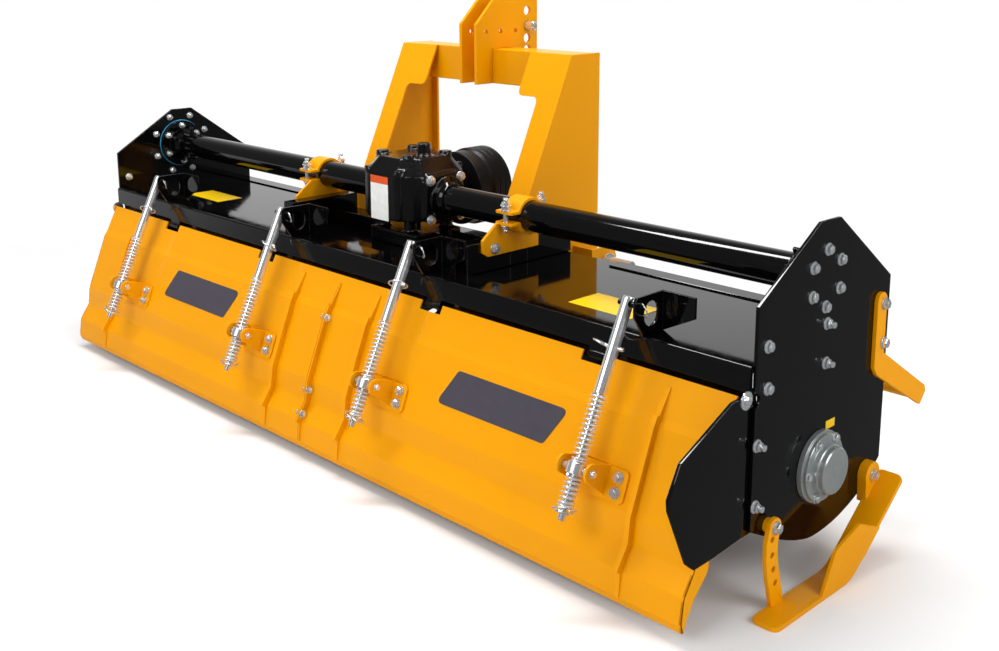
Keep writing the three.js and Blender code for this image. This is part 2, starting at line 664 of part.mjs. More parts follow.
function rotor() {
  const tubeEnd = CLEAR_X - SHAFT_END_GAP;
  const tube = barX(ROTOR_SHAFT_R, -tubeEnd, tubeEnd, 0, ROTOR_Z, ROTOR_ROUND);
  const stubEnd = PLATE_X + BEARING_BLIND - STUB_END_GAP;
  const stub = barX(STUB_R, -stubEnd, stubEnd, 0, ROTOR_Z);
  const first = -(INNER_X - END_FLANGE_INSET);
  const pitch = (-2 * first) / (FLANGE_COUNT - 1);
  const pieces = [];
  for (let k = 0; k < FLANGE_COUNT; k += 1) {
    const x = first + k * pitch;
    pieces.push(barX(FLANGE_R, x - FLANGE_T / 2, x + FLANGE_T / 2, 0, ROTOR_Z, ROTOR_ROUND));
    for (const side of Object.values(SIDES)) {
      for (let b = 0; b < BLADES_PER_SIDE; b += 1) {
        const share = b + (side > 0 ? 0.5 : 0);
        const degrees = (360 / BLADES_PER_SIDE) * share + k * STAGGER + ROTOR_PHASE;
        const blade = bladeGeometry(side);
        blade.rotateX(THREE.MathUtils.degToRad(degrees));
        pieces.push(solid(blade.translate(x, 0, ROTOR_Z)));
      }
    }
  }
  return join(tube, stub, ...pieces);
}

// ---------------------------------------------------------------- tower and hitch

const rearEdgeSlope = (LEG_TOP_REAR_Y - LEG_KNEE[0]) / (LEG_TOP_Z - LEG_KNEE[1]);
const rearEdgeAt = (z) => LEG_TOP_REAR_Y - (LEG_TOP_Z - z) * rearEdgeSlope;

function towerLeg(side) {
  const foot = HOOD_Z + LEG_CLEARANCE;
  const kneeZ = LEG_TOP_Z - (LEG_TOP_REAR_Y - LEG_FOOT_Y) / rearEdgeSlope;
  const outline = [
    [LEG_FOOT_Y, kneeZ],
    [LEG_FOOT_Y, foot],
    [HOOD_FRONT_TOP_Y + LEG_CLEARANCE, foot],
    [HOOD_FRONT_Y + LEG_CLEARANCE, HOOD_SLOPE_Z + LEG_CLEARANCE],
    [HOOD_FRONT_Y + LEG_CLEARANCE, HITCH_Z - HITCH_PLATE_R],
    [LEG_FRONT_Y, HITCH_Z - HITCH_PLATE_R],
    [LEG_FRONT_Y, LEG_TOP_Z],
    [LEG_TOP_REAR_Y, LEG_TOP_Z],
  ];
  const web = plateX(outline, side * (TOWER_X - LEG_T), side * TOWER_X);
  const gussetZ = LEG_TOP_Z - LEG_GUSSET_DROP;
  const band = (z0, z1) => [
    [rearEdgeAt(z0), z0],
    [rearEdgeAt(z0) + LEG_T, z0],
    [rearEdgeAt(z1) + LEG_T, z1],
    [rearEdgeAt(z1), z1],
  ];
  const rear = plateX(band(kneeZ + OVER, LEG_TOP_Z), side * (TOWER_X - LEG_FLANGE_W), side * TOWER_X);
  const gusset = plateX(band(gussetZ, LEG_TOP_Z), side * (TOWER_X - LEG_GUSSET_W), side * TOWER_X);
  const frontZ = [HITCH_Z + HITCH_PLATE_R + LEG_FLANGE_START, LEG_TOP_Z - CROSSBAR_H - GAP];
  const frontY = [LEG_FRONT_Y - LEG_T, LEG_FRONT_Y];
  const front = box(side * (TOWER_X - LEG_FRONT_FLANGE_W), side * TOWER_X, ...frontY, ...frontZ);
  const holeX = [side * (TOWER_X - LEG_T - OVER), side * (TOWER_X + OVER)];
  const pinHole = barX(HITCH_PIN_R + PIN_CLEARANCE, ...holeX, HITCH_Y, HITCH_Z, SMALL_ROUND);
  return cut(join(web, rear, gusset, front), pinHole);
}

const crossbarRear = LEG_TOP_REAR_Y + LEG_T + GAP;

function crossbar() {
  const half = TOWER_X - LEG_T - GAP;
  const tube = (wall, reach) => box(-reach, reach, crossbarRear + wall, crossbarRear + CROSSBAR_DEPTH - wall,
    LEG_TOP_Z - CROSSBAR_H + wall, LEG_TOP_Z - wall);
  return cut(tube(0, half), tube(CROSSBAR_WALL, half + OVER));
}

function clevisPlate(side) {
  const [rear, front] = CLEVIS_Y;
  const barFront = crossbarRear + CROSSBAR_DEPTH + GAP;
  const barRear = crossbarRear - GAP;
  const over = LEG_TOP_Z + GAP;
  const outline = [
    [rear, LEG_TOP_Z - CROSSBAR_H],
    [barRear, LEG_TOP_Z - CROSSBAR_H],
    [barRear, over],
    [barFront, over],
    [barFront, LEG_TOP_Z - CLEVIS_LAP],
    [front, LEG_TOP_Z - CLEVIS_LAP],
    [front, CLEVIS_TOP_Z],
    [rear + CLEVIS_CHAMFER, CLEVIS_TOP_Z],
    [rear, CLEVIS_TOP_Z - CLEVIS_CHAMFER],
  ];
  const inner = side * (CLEVIS_GAP / 2);
  const outer = side * (CLEVIS_GAP / 2 + CLEVIS_T);
  const hole = (radius, y, z) => barX(radius, inner - side, outer + side, y, z, SMALL_ROUND);
  const pinR = TOP_PIN_R + PIN_CLEARANCE;
  const holes = [0, ...TOP_PIN_ROW].map((rise) => hole(pinR, TOP_PIN[0], TOP_PIN[1] + rise));
  const small = STORE_HOLES_Y.map((y) => hole(STORE_HOLE_R, y, LEG_TOP_Z + STORE_HOLES_RISE));
  return cut(plateX(outline, inner, outer), ...holes, ...small);
}

function topLinkPin() {
  const half = CLEVIS_GAP / 2 + CLEVIS_T;
  const [left, right] = TOP_PIN_REACH;
  const [headR, headL] = TOP_PIN_HEAD;
  const shank = barX(TOP_PIN_R, -(half + left), half + right, ...TOP_PIN, SMALL_ROUND);
  const head = barX(headR, -(half + left), headL - (half + left), ...TOP_PIN, SMALL_ROUND);
  return join(shank, head);
}

const hitchPlateX = TOWER_X + HITCH_GAP;

function hitchBracket(side) {
  const inner = side * (TOWER_X + GAP);
  const [low, high] = [HITCH_Z - HITCH_PLATE_R, HITCH_Z + HITCH_PLATE_R];
  const [backGap, backT] = HITCH_BACK;
  const rear = HOOD_FRONT_Y + backGap;
  const outline = [
    [rear, low],
    ...arc(HITCH_Y, HITCH_Z, HITCH_PLATE_R, -90, 90, SMALL_ROUND),
    [rear, high],
  ];
  const plateEnd = hitchPlateX + HITCH_PLATE_T;
  const outer = plateX(outline, side * hitchPlateX, side * plateEnd);
  const back = box(inner, side * (hitchPlateX + OVER), rear, rear + backT, low, high);
  const holeX = [side * (hitchPlateX - OVER), side * (plateEnd + OVER)];
  const pinHole = barX(HITCH_PIN_R + PIN_CLEARANCE, ...holeX, HITCH_Y, HITCH_Z, SMALL_ROUND);
  return cut(join(outer, back), pinHole);
}

function hitchPin(side) {
  const end = hitchPlateX + HITCH_PLATE_T;
  const [headR, headL] = HITCH_PIN_HEAD;
  const [collarR, collarEnd] = HITCH_PIN_COLLAR;
  const start = TOWER_X - LEG_T - headL;
  const bar = (radius, x0, x1) => barX(radius, side * x0, side * x1, HITCH_Y, HITCH_Z, SMALL_ROUND);
  const shank = bar(HITCH_PIN_R, start, end + HITCH_PIN_REACH);
  const collar = bar(collarR, end + GAP, end + collarEnd);
  const head = bar(headR, start, start + headL - GAP);
  return join(shank, collar, head);
}

// ---------------------------------------------------------------- tube clamps

const clampInner = TOWER_X + 2 * GAP + CHANNEL_W;

/** Half of a tube clamp; way is 1 for the upper cap and -1 for the lower saddle. */
function clampHalf(side, way) {
  const inner = TUBE_R + GAP;
  const outer = inner + CLAMP_T;
  const rise = way * CLAMP_SPLIT;
  const start = way > 0 ? 0 : 180;
  const x0 = side * clampInner;
  const x1 = side * (clampInner + CLAMP_W);
  const half = (radius, from, to) => arc(0, TUBE_Z, radius, from, to, ROUND);
  const ring = [...half(outer, start, start + 180), ...half(inner, start + 180, start)];
  const low = Math.min(rise, rise + way * CLAMP_T) + TUBE_Z;
  const ears = Object.values(SIDES).map((end) =>
    box(x0, x1, end * (inner + OVER), end * (outer + CLAMP_EAR), low, low + CLAMP_T));
  const past = side * OVER;
  const trimY = [-outer - OVER, outer + OVER];
  const trim = box(x0 - past, x1 + past, ...trimY, TUBE_Z - rise, TUBE_Z + rise);
  const bore = barX(inner, x0 - past, x1 + past, 0, TUBE_Z);
  return cut(join(plateX(ring, x0, x1), ...ears), trim, bore);
}

function clampBase(side) {
  const low = HOOD_Z + GAP + CHANNEL_H - CLAMP_PLATE_LAP;
  const top = TUBE_Z - CLAMP_SPLIT - OVER;
  const [rear, front] = CLAMP_PLATE_Y;
  const [rearTop, frontTop] = CLAMP_PLATE_TOP_Y;
  const [cornerY, cornerZ] = CLAMP_PLATE_CORNER;
  const outline = [
    [rear + cornerY, low],
    [front, low],
    [front, low + CLAMP_PLATE_END_H[1]],
    [frontTop, top],
    [rearTop, top],
    [rear, low + CLAMP_PLATE_END_H[0]],
    [rear, low + cornerZ],
  ];
  const [x0, x1] = [side * clampInner, side * (clampInner + CLAMP_PLATE_T)];
  const bore = barX(TUBE_R + GAP, x0 - side * OVER, x1 + side * OVER, 0, TUBE_Z);
  return cut(join(clampHalf(side, -1), plateX(outline, x0, x1)), bore);
}

// ---------------------------------------------------------------- front arms and skids

function frontArm(side) {
  const [topY, topZ] = ARM_TOP;
  const [rear, lowRear, front] = ARM_BEND.map(([y, z]) => [topY + y, z]);
  const tip = ARM_TIP.map(([y, z]) => [ARM_TIP_Y + y, z]);
  const outline = [...arc(topY, topZ, ARM_HALF_W, 0, 180, SMALL_ROUND), rear, lowRear, ...tip, front];
  return plateX(outline, side * (PLATE_X + GAP), side * (PLATE_X + GAP + ARM_T));
}

function frontGuardBar() {
  const tube = barX(GUARD_BAR_R, -PLATE_X, PLATE_X, ...GUARD_BAR, SMALL_ROUND);
  const reach = PLATE_X + OVER;
  return cut(tube, barX(GUARD_BAR_R - GUARD_BAR_WALL, -reach, reach, ...GUARD_BAR, SMALL_ROUND));
}

/** Underside of a skid's foot: the flat sole, the bend and the rising front part. */
function skidSole() {
  const bend = arc(SKID_FLAT_Y, SKID_BEND_R, SKID_BEND_R, -90, SKID_SLOPE - 90, SKID_BEND_STEPS);
  const [bendY, bendZ] = bend[bend.length - 1];
  const rise = (SKID_FRONT_Y - bendY) * Math.tan(THREE.MathUtils.degToRad(SKID_SLOPE));
  return [[SKID_REAR_Y, 0], ...bend, [SKID_FRONT_Y, bendZ + rise]];
}

function skid(side) {
  const inner = PLATE_X + SKID_INSET;
  const outer = inner + SKID_W;
  const sole = skidSole();
  const foot = plateX(folded(sole, SKID_T), side * inner, side * outer);
  const [pivotY, pivotZ] = SKID_PIVOT;
  const slope = Math.tan(THREE.MathUtils.degToRad(SKID_SLOPE));
  const [, frontZ] = sole[sole.length - 1];
  const flank = (end) => {
    const y = pivotY + end * (SKID_LUG_R - SKID_LUG_TAPER);
    return [y, frontZ - (SKID_FRONT_Y - y) * slope + SKID_T / 2];
  };
  const lugOutline = [...arc(pivotY, pivotZ, SKID_LUG_R, ...SKID_LUG_ARC, SMALL_ROUND), flank(-1), flank(1)];
  const face = side * (PLATE_X + GAP);
  const lug = plateX(lugOutline, face, side * (inner + SKID_T));
  const strapX = [side * inner, side * (inner + SKID_STRAP_T)];
  const strapPiece = plateX(strap(SKID_STRAP_LINE, SKID_STRAP_W), ...strapX);
  const strapTop = barX(SKID_STRAP_W / 2, ...strapX, ...SKID_STRAP_LINE[0], ROUND);
  const boss = barX(SKID_BOSS_R, face, side * (inner + SKID_BOSS_LAP), ...SKID_STRAP_LINE[0], SMALL_ROUND);
  const rib = plateX(SKID_RIB, side * (outer - SKID_RIB_T), side * outer);
  const below = box(face, side * (outer + OVER), SKID_REAR_Y - OVER, SKID_FRONT_Y, -SKID_STRAP_W, 0);
  return cut(join(foot, lug, strapPiece, strapTop, boss, rib), below);
}

// ---------------------------------------------------------------- tailgate and its rods

const tailgateLeft = -(PLATE_X - TAILGATE_LEFT);
const tailgateRight = PLATE_X - TAILGATE_RIGHT;

/** y of the tailgate's outer face at a height. */
function tailgateYAt(z) {
  for (let i = 0; i < TAILGATE_PROFILE.length - 1; i += 1) {
    const [y0, z0] = TAILGATE_PROFILE[i];
    const [y1, z1] = TAILGATE_PROFILE[i + 1];
    if (z <= z0 && z >= z1) return y0 + ((y1 - y0) * (z0 - z)) / (z0 - z1);
  }
  return TAILGATE_PROFILE[0][0];
}

function tailgate() {
  const sheet = plateX(folded(TAILGATE_PROFILE, TAILGATE_T), tailgateLeft, tailgateRight);
  const flangeLine = TAILGATE_PROFILE.slice(1);
  const inward = offsetLine(flangeLine, 1);
  const flangeEdge = flangeLine.map((point, i) => mix(point, inward[i], TAILGATE_FLANGE[i]));
  const flangeOutline = [...flangeLine, ...flangeEdge.reverse()];
  const flanges = [
    plateX(flangeOutline, tailgateLeft, tailgateLeft + TAILGATE_T),
    plateX(flangeOutline, tailgateRight - TAILGATE_T, tailgateRight),
  ];
  const [first, last] = RIB_STATIONS;
  const ribLine = TAILGATE_PROFILE.slice(first, last + 1);
  const ribOutline = [...offsetLine(ribLine, -RIB_H), ...offsetLine(ribLine, OVER).reverse()];
  const ribs = RIB_X.map((x) => plateX(ribOutline, x - RIB_T / 2, x + RIB_T / 2));
  const notches = KNUCKLE_X.map((x) => {
    const half = KNUCKLE_W / 2 + KNUCKLE_NOTCH;
    return barX(KNUCKLE_R + KNUCKLE_NOTCH, x - half, x + half, HINGE[0], HINGE[1], SMALL_ROUND);
  });
  return cut(join(sheet, ...flanges, ...ribs), ...notches);
}

const blockCentre = mix(ROD_TOP, ROD_END, BLOCK_SHARE);

function guideBracket(x) {
  const [pivotY, pivotZ] = blockCentre;
  const [, z0] = TAILGATE_PROFILE[2];
  const [, z1] = TAILGATE_PROFILE[3];
  const lowZ = pivotZ - GUIDE_PLATE_H;
  const slope = (TAILGATE_PROFILE[3][0] - TAILGATE_PROFILE[2][0]) / (z1 - z0);
  const normal = [-1, slope].map((v) => v / Math.hypot(1, slope));
  const faceAt = (z, out) => [tailgateYAt(z) + normal[0] * out, z + normal[1] * out];
  const base = [
    faceAt(lowZ, GAP),
    faceAt(lowZ, GAP + GUIDE_PLATE_T),
    faceAt(lowZ + GUIDE_PLATE_H, GAP + GUIDE_PLATE_T),
    faceAt(lowZ + GUIDE_PLATE_H, GAP),
  ];
  const plate = plateX(base, x + GUIDE_PLATE_X[0], x + GUIDE_PLATE_X[1]);
  const earOutline = [
    faceAt(lowZ + EAR_FOOT, GAP + OVER),
    faceAt(lowZ + GUIDE_PLATE_H, GAP + OVER),
    ...arc(pivotY, pivotZ, EAR_R, ...EAR_ARC, SMALL_ROUND),
  ];
  const ears = Object.values(SIDES).map((side) => {
    const start = x + side * EAR_OFFSET;
    const holeX = [start - side * OVER, start + side * (EAR_T + OVER)];
    const hole = barX(TRUNNION_R + PIN_CLEARANCE, ...holeX, pivotY, pivotZ, SMALL_ROUND);
    return cut(plateX(earOutline, start, start + side * EAR_T), hole);
  });
  return join(plate, ...ears);
}

const rodLength = Math.hypot(ROD_END[0] - ROD_TOP[0], ROD_END[1] - ROD_TOP[1]);
const blockAt = rodLength * BLOCK_SHARE;

function swivelBlock(x) {
  const bore = ROD_R + BLOCK_CLEARANCE;
  const ring = [
    [bore, blockAt - BLOCK_H / 2],
    [BLOCK_R, blockAt - BLOCK_H / 2],
    [BLOCK_R, blockAt + BLOCK_H / 2],
    [bore, blockAt + BLOCK_H / 2],
    [bore, blockAt - BLOCK_H / 2],
  ];
  const reach = EAR_OFFSET + EAR_T + TRUNNION_REACH;
  const trunnion = barX(TRUNNION_R, x - reach, x + reach, ...blockCentre, SMALL_ROUND);
  const room = [blockAt - BLOCK_H, blockAt + BLOCK_H];
  const roomProfile = [[0, room[0]], [bore, room[0]], [bore, room[1]], [0, room[1]]];
  const rodRoom = turned(roomProfile, x, ROD_TOP, ROD_END);
  return cut(join(turned(ring, x, ROD_TOP, ROD_END), trunnion), rodRoom);
}

const upperSpring = [rodLength * ROD_TUBE_SHARE + GAP, blockAt - BLOCK_H / 2 - GAP];

function springRod(x) {
  const shoulder = rodLength * ROD_TUBE_SHARE;
  const washer = rodLength * END_WASHER_SHARE;
  const lowerSpring = blockAt + BLOCK_H / 2 + OVER;
  const profile = [
    [0, ROD_START],
    [ROD_TUBE_R, ROD_START],
    [ROD_TUBE_R, shoulder],
    [ROD_R, shoulder],
    [ROD_R, lowerSpring],
    [SPRING_R, lowerSpring],
    [SPRING_R, washer],
    [END_WASHER_R, washer],
    [END_WASHER_R, washer + END_WASHER_T],
    [ROD_R, washer + END_WASHER_T],
    [ROD_R, rodLength],
    [0, rodLength],
  ];
  const eye = barX(EYE_R, x - ROD_TUBE_R, x + ROD_TUBE_R, ...ROD_TOP, SMALL_ROUND);
  const hole = barX(EYE_HOLE_R, x - EYE_R, x + EYE_R, ...ROD_TOP, SMALL_ROUND);
  return cut(join(turned(profile, x, ROD_TOP, ROD_END), eye), hole);
}

function springSleeve(x) {
  const bore = ROD_R + SPRING_BORE_CLEARANCE;
  const [start, end] = upperSpring;
  const profile = [[bore, start], [SPRING_R, start], [SPRING_R, end], [bore, end], [bore, start]];
  return turned(profile, x, ROD_TOP, ROD_END);
}

// ---------------------------------------------------------------- scene graph

const machine = new THREE.Group();

function add(name, manifold, material) {
  const mesh = new THREE.Mesh(geometryOf(manifold), material);
  mesh.name = name;
  machine.add(mesh);
}

for (const [word, side] of Object.entries(SIDES)) {
  add(`side_plate_${word}`, sidePlate(side), BLACK);
  add(`cross_tube_${word}`, crossTube(side), BLACK);
  add(`channel_${word}`, channel(side), BLACK);
  add(`clamp_cap_${word}`, clampHalf(side, 1), YELLOW);
  add(`clamp_base_${word}`, clampBase(side), YELLOW);
  add(`tower_leg_${word}`, towerLeg(side), YELLOW);
  add(`clevis_plate_${word}`, clevisPlate(side), YELLOW);
  add(`lower_hitch_${word}`, hitchBracket(side), YELLOW);
  add(`lower_hitch_pin_${word}`, hitchPin(side), ZINC);
  add(`front_arm_${word}`, frontArm(side), YELLOW);
  add(`skid_${word}`, skid(side), YELLOW);
}
add('hood', hood(), BLACK);
add('rear_beam', rearBeam(), BLACK);
add('cross_beam', crossBeamBox(0), BLACK);
add('rear_deflector', rearDeflector(), BLACK);
add('gearbox', gearbox(), CAST_BLACK);
add('pto_guard', ptoGuard(), PLASTIC);
add('input_shaft', inputShaft(), STEEL);
add('drive_case', driveCase(), CAST_BLACK);
add('bearing_housing', bearingHousing(), ZINC);
add('rotor', rotor(), STEEL);
add('tower_crossbar', crossbar(), YELLOW);
add('top_link_pin', topLinkPin(), ZINC);
add('front_guard_bar', frontGuardBar(), YELLOW);
add('tailgate', tailgate(), YELLOW);
ROD_X.forEach((x, i) => {
  add(`rod_bracket_${i + 1}`, rodBracket(x), BLACK);
  add(`guide_bracket_${i + 1}`, guideBracket(x), YELLOW);
  add(`swivel_block_${i + 1}`, swivelBlock(x), ZINC);
  add(`spring_rod_${i + 1}`, springRod(x), ZINC);
  add(`upper_spring_${i + 1}`, springSleeve(x), ZINC);
});

machine.position.set(0, -MID_Y, 0);

const root = new THREE.Group();
root.add(machine);

export default root;
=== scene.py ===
"""Rotary tiller for a tractor's three-point linkage, dressed round its fixed CAD frame.

Lengths in the build code are millimetres in the maker's own frame: x from mid-width, y from the
rotor's axis, z from the skid soles. Lengths in the settings are metres.
"""

import json
import math

import bmesh
import bpy
from bpy.props import FloatProperty, FloatVectorProperty, IntProperty, PointerProperty
from mathutils import Matrix, Vector


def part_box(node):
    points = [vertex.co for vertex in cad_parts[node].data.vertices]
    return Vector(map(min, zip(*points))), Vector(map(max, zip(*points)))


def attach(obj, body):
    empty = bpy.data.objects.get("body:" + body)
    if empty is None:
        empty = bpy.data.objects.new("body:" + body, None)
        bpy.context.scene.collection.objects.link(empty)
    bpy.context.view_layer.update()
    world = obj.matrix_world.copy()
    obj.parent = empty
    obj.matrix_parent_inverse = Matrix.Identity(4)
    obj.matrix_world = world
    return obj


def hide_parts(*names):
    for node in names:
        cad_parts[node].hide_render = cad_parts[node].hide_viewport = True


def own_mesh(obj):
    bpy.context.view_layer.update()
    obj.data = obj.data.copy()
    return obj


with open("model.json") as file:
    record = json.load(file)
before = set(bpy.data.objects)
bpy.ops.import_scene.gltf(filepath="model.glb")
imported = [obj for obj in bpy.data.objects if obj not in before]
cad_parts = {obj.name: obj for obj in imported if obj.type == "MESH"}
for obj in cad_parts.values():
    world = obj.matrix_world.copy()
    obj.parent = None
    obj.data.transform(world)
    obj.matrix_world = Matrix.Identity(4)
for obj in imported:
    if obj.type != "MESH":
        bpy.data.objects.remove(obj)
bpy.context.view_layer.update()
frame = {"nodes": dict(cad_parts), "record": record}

bl_info = {
    "name": "Rotary Tiller",
    "version": (1, 0, 0),
    "blender": (4, 5, 0),
    "location": "View3D > Sidebar > Tiller",
    "description": "Builds the painted panels, castings, rods, springs and fasteners of a rotary tiller",
    "category": "Object",
}

MM = 0.001
RECORD = frame["record"]
BODIES = RECORD["behaviour"]["bodies"]
BODY_OF = {node: body for body, nodes in BODIES.items() for node in nodes}
SLOT_OF = {part["node"]: part["material_slot"] for part in RECORD["subparts"]}
JOINTS = {joint["name"]: joint for joint in RECORD["behaviour"]["joints"]}
ROTOR_Y, ROTOR_Z = (value / MM for value in JOINTS["rotor_spin"]["pos_m"][1:])
SIDES = (("left", -1), ("right", 1))

# Sizes of the frame that the dressing follows, in millimetres. A pair is (y, z).
PLATE_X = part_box("side_plate_right")[1].x / MM
PLATE_T = 8.0
PLATE_IN = PLATE_X - PLATE_T
GAP = 0.3
HOOD_TOP = 505.3
TUBE_Z, TUBE_R = 638.0, 38.0
PTO_Z = 627
CLAMP_X = 412
HITCH = (320, 462)
TOP_PIN = (395, 1068)
GUARD_BAR = (415, 292)
SHEET_T = 5.0
TAILGATE_LINE = [
    (-245, 451), (-282, 377), (-293, 361), (-359, 194), (-366, 140), (-396, 95), (-403, 42), (-396, 24),
]
ROD_X = (-950.0, -275.0, 275.0, 950.0)
ROD_TOP, ROD_END = (-247.0, 575.0), (-437.5, 172.0)
ROD_LENGTH = math.dist(ROD_TOP, ROD_END)
ROD_WAY = ((ROD_END[0] - ROD_TOP[0]) / ROD_LENGTH, (ROD_END[1] - ROD_TOP[1]) / ROD_LENGTH)
SHOULDER_AT = 0.42 * ROD_LENGTH
BLOCK_AT = 0.764 * ROD_LENGTH
WASHER_AT = 0.955 * ROD_LENGTH

# The rotor: stations along the shaft, blades on each side of a flange, angles in degrees.
STATIONS, BLADES = 10, 3
STAGGER, PHASE = 22, -48


def linear(colour):
    """An sRGB hex colour as linear RGBA."""
    channels = [int(colour[i : i + 2], 16) / 255 for i in (0, 2, 4)]
    return (*[c / 12.92 if c <= 0.04045 else ((c + 0.055) / 1.055) ** 2.4 for c in channels], 1.0)


# ------------------------------------------------------------------------------ settings


def colour_setting(name, description, colour):
    return FloatVectorProperty(
        name=name, description=description, default=linear(colour), subtype="COLOR", size=4, min=0, max=1
    )


def length_setting(name, description, default):
    return FloatProperty(
        name=name, description=description, default=default, min=0, unit="LENGTH", precision=4,
    )


class TillerFinishes(bpy.types.PropertyGroup):
    """Colours of the tiller's finishes."""

    panel: colour_setting("Panel Powder", "Powder coat of the tailgate, tower, clamps and skids", "EC9D00")
    enamel: colour_setting("Frame Enamel", "Gloss enamel of the side plates, hood and tubes", "040405")
    casting: colour_setting("Casting Paint", "Paint over the sand-cast gearbox and drive case", "070708")
    zinc: colour_setting("Zinc Plate", "Bright zinc on rods, springs and fasteners", "F0F3F5")
    label_dark: colour_setting("Dark Label", "Blank name panels on the tailgate", "4A4650")
    label_yellow: colour_setting("Yellow Label", "Blank notice plates on the hood", "F2C500")


class TillerFasteners(bpy.types.PropertyGroup):
    """Sizes of one hexagon fastener at scale 1."""

    washer_radius: length_setting("Washer Radius", "Outer radius of the plain washer", 0.013)
    washer_thickness: length_setting("Washer Thickness", "Thickness of the plain washer", 0.0028)
    head_radius: length_setting("Head Radius", "Radius over the hexagon's corners", 0.0105)
    head_height: length_setting("Head Height", "Height of the hexagon", 0.008)
    thread_radius: length_setting("Thread Radius", "Radius of the thread that stands out of a nut", 0.0062)
    thread_length: length_setting("Thread Length", "Length of the thread that stands out of a nut", 0.0045)


class TillerSprings(bpy.types.PropertyGroup):
    """Sizes of the coil springs on the tailgate's rods."""

    upper_wire: length_setting("Upper Wire", "Wire diameter of the upper springs", 0.0042)
    upper_turns: IntProperty(name="Upper Turns", description="Turns of an upper spring", default=15, min=3)
    lower_wire: length_setting("Lower Wire", "Wire diameter of the lower springs", 0.0056)
    lower_turns: IntProperty(name="Lower Turns", description="Turns of a lower spring", default=7, min=3)
    outer_radius: length_setting("Outer Radius", "Outer radius of both springs", 0.017)


class TillerStage(bpy.types.PropertyGroup):
    """Camera, floor and light."""

    lens: FloatProperty(name="Lens", description="Focal length", default=42.43, subtype="DISTANCE_CAMERA")
    key_power: FloatProperty(
        name="Key Light", description="Soft light from behind the camera", default=82, unit="POWER",
    )
    side_power: FloatProperty(
        name="Side Light", description="Soft light from the right", default=60, unit="POWER",
    )
    top_power: FloatProperty(name="Top Light", description="Overhead soft box", default=120, unit="POWER")
    ambient: FloatProperty(name="Ambient", description="World light on matt surfaces", default=0.52, min=0)
    studio_gloss: FloatProperty(
        name="Studio Gloss", description="Brightness that gloss sees away from the backdrop",
        default=0.14, min=0,
    )
    floor: colour_setting("Floor", "Pale studio floor", "F4F4F4")


# ------------------------------------------------------------------------------ nodes


MATH, VECTOR = "ShaderNodeMath", "ShaderNodeVectorMath"


def add(tree, kind, inputs=None, **settings):
    """Adds a node with its settings; an input takes a value, or the node or socket to link from."""
    node = tree.nodes.new(kind)
    for name, value in settings.items():
        setattr(node, name, value)
    for name, value in (inputs or {}).items():
        socket = node.inputs[name] if isinstance(name, int) or name in node.inputs else next(
            given for given in node.inputs if given.identifier == name
        )
        if isinstance(value, bpy.types.Node):
            value = next(given for given in value.outputs if given.enabled)
        if isinstance(value, bpy.types.NodeSocket):
            tree.links.new(value, socket)
        else:
            socket.default_value = value
    return node


def shade_of(colour, share):
    """A linear colour made darker or lighter."""
    return (*[min(1.0, c * share) for c in colour[:3]], 1.0)


def surface(
    name, tones, grain, bump, roughness,
    clouds=None, span=(0.3, 0.7), lay=(1, 1, 1), worn=False, **sockets,
):
    """A material whose fine grain drives bump and roughness, and whose clouds drive its tone.

    A grain or clouds is a size in millimetres and a detail, bump a strength and a depth in
    millimetres, lay how far the pattern is drawn out along each axis. Worn tones are bare metal.
    """
    material = bpy.data.materials.new(name)
    material.use_nodes = True
    tree = material.node_tree
    tree.nodes.clear()
    place = add(tree, "ShaderNodeTexCoord").outputs["Object"]
    drawn = add(tree, "ShaderNodeMapping", {"Vector": place, "Scale": [1 / share for share in lay]})
    fine, coarse = [
        add(tree, "ShaderNodeTexNoise", {"Vector": drawn, "Scale": 1 / (size * MM), "Detail": detail})
        for size, detail in (grain, clouds or grain)
    ]
    tone = add(tree, "ShaderNodeMapRange", {"Value": coarse, "From Min": span[0], "From Max": span[1]})
    base = add(
        tree, "ShaderNodeMix", {"Factor": tone, "A_Color": tones[0], "B_Color": tones[1]}, data_type="RGBA",
    )
    steps = {"Value": fine, "From Min": 0.3, "From Max": 0.7, "To Min": roughness[0], "To Max": roughness[1]}
    rough = add(tree, "ShaderNodeMapRange", steps)
    relief = add(tree, "ShaderNodeBump", {"Height": fine, "Strength": bump[0], "Distance": bump[1] * MM})
    shader = add(tree, "ShaderNodeBsdfPrincipled", {
        "Base Color": base, "Roughness": rough, "Normal": relief,
        **({"Metallic": tone} if worn else {}), **sockets,
    })
    add(tree, "ShaderNodeOutputMaterial", {"Surface": shader})
    return material


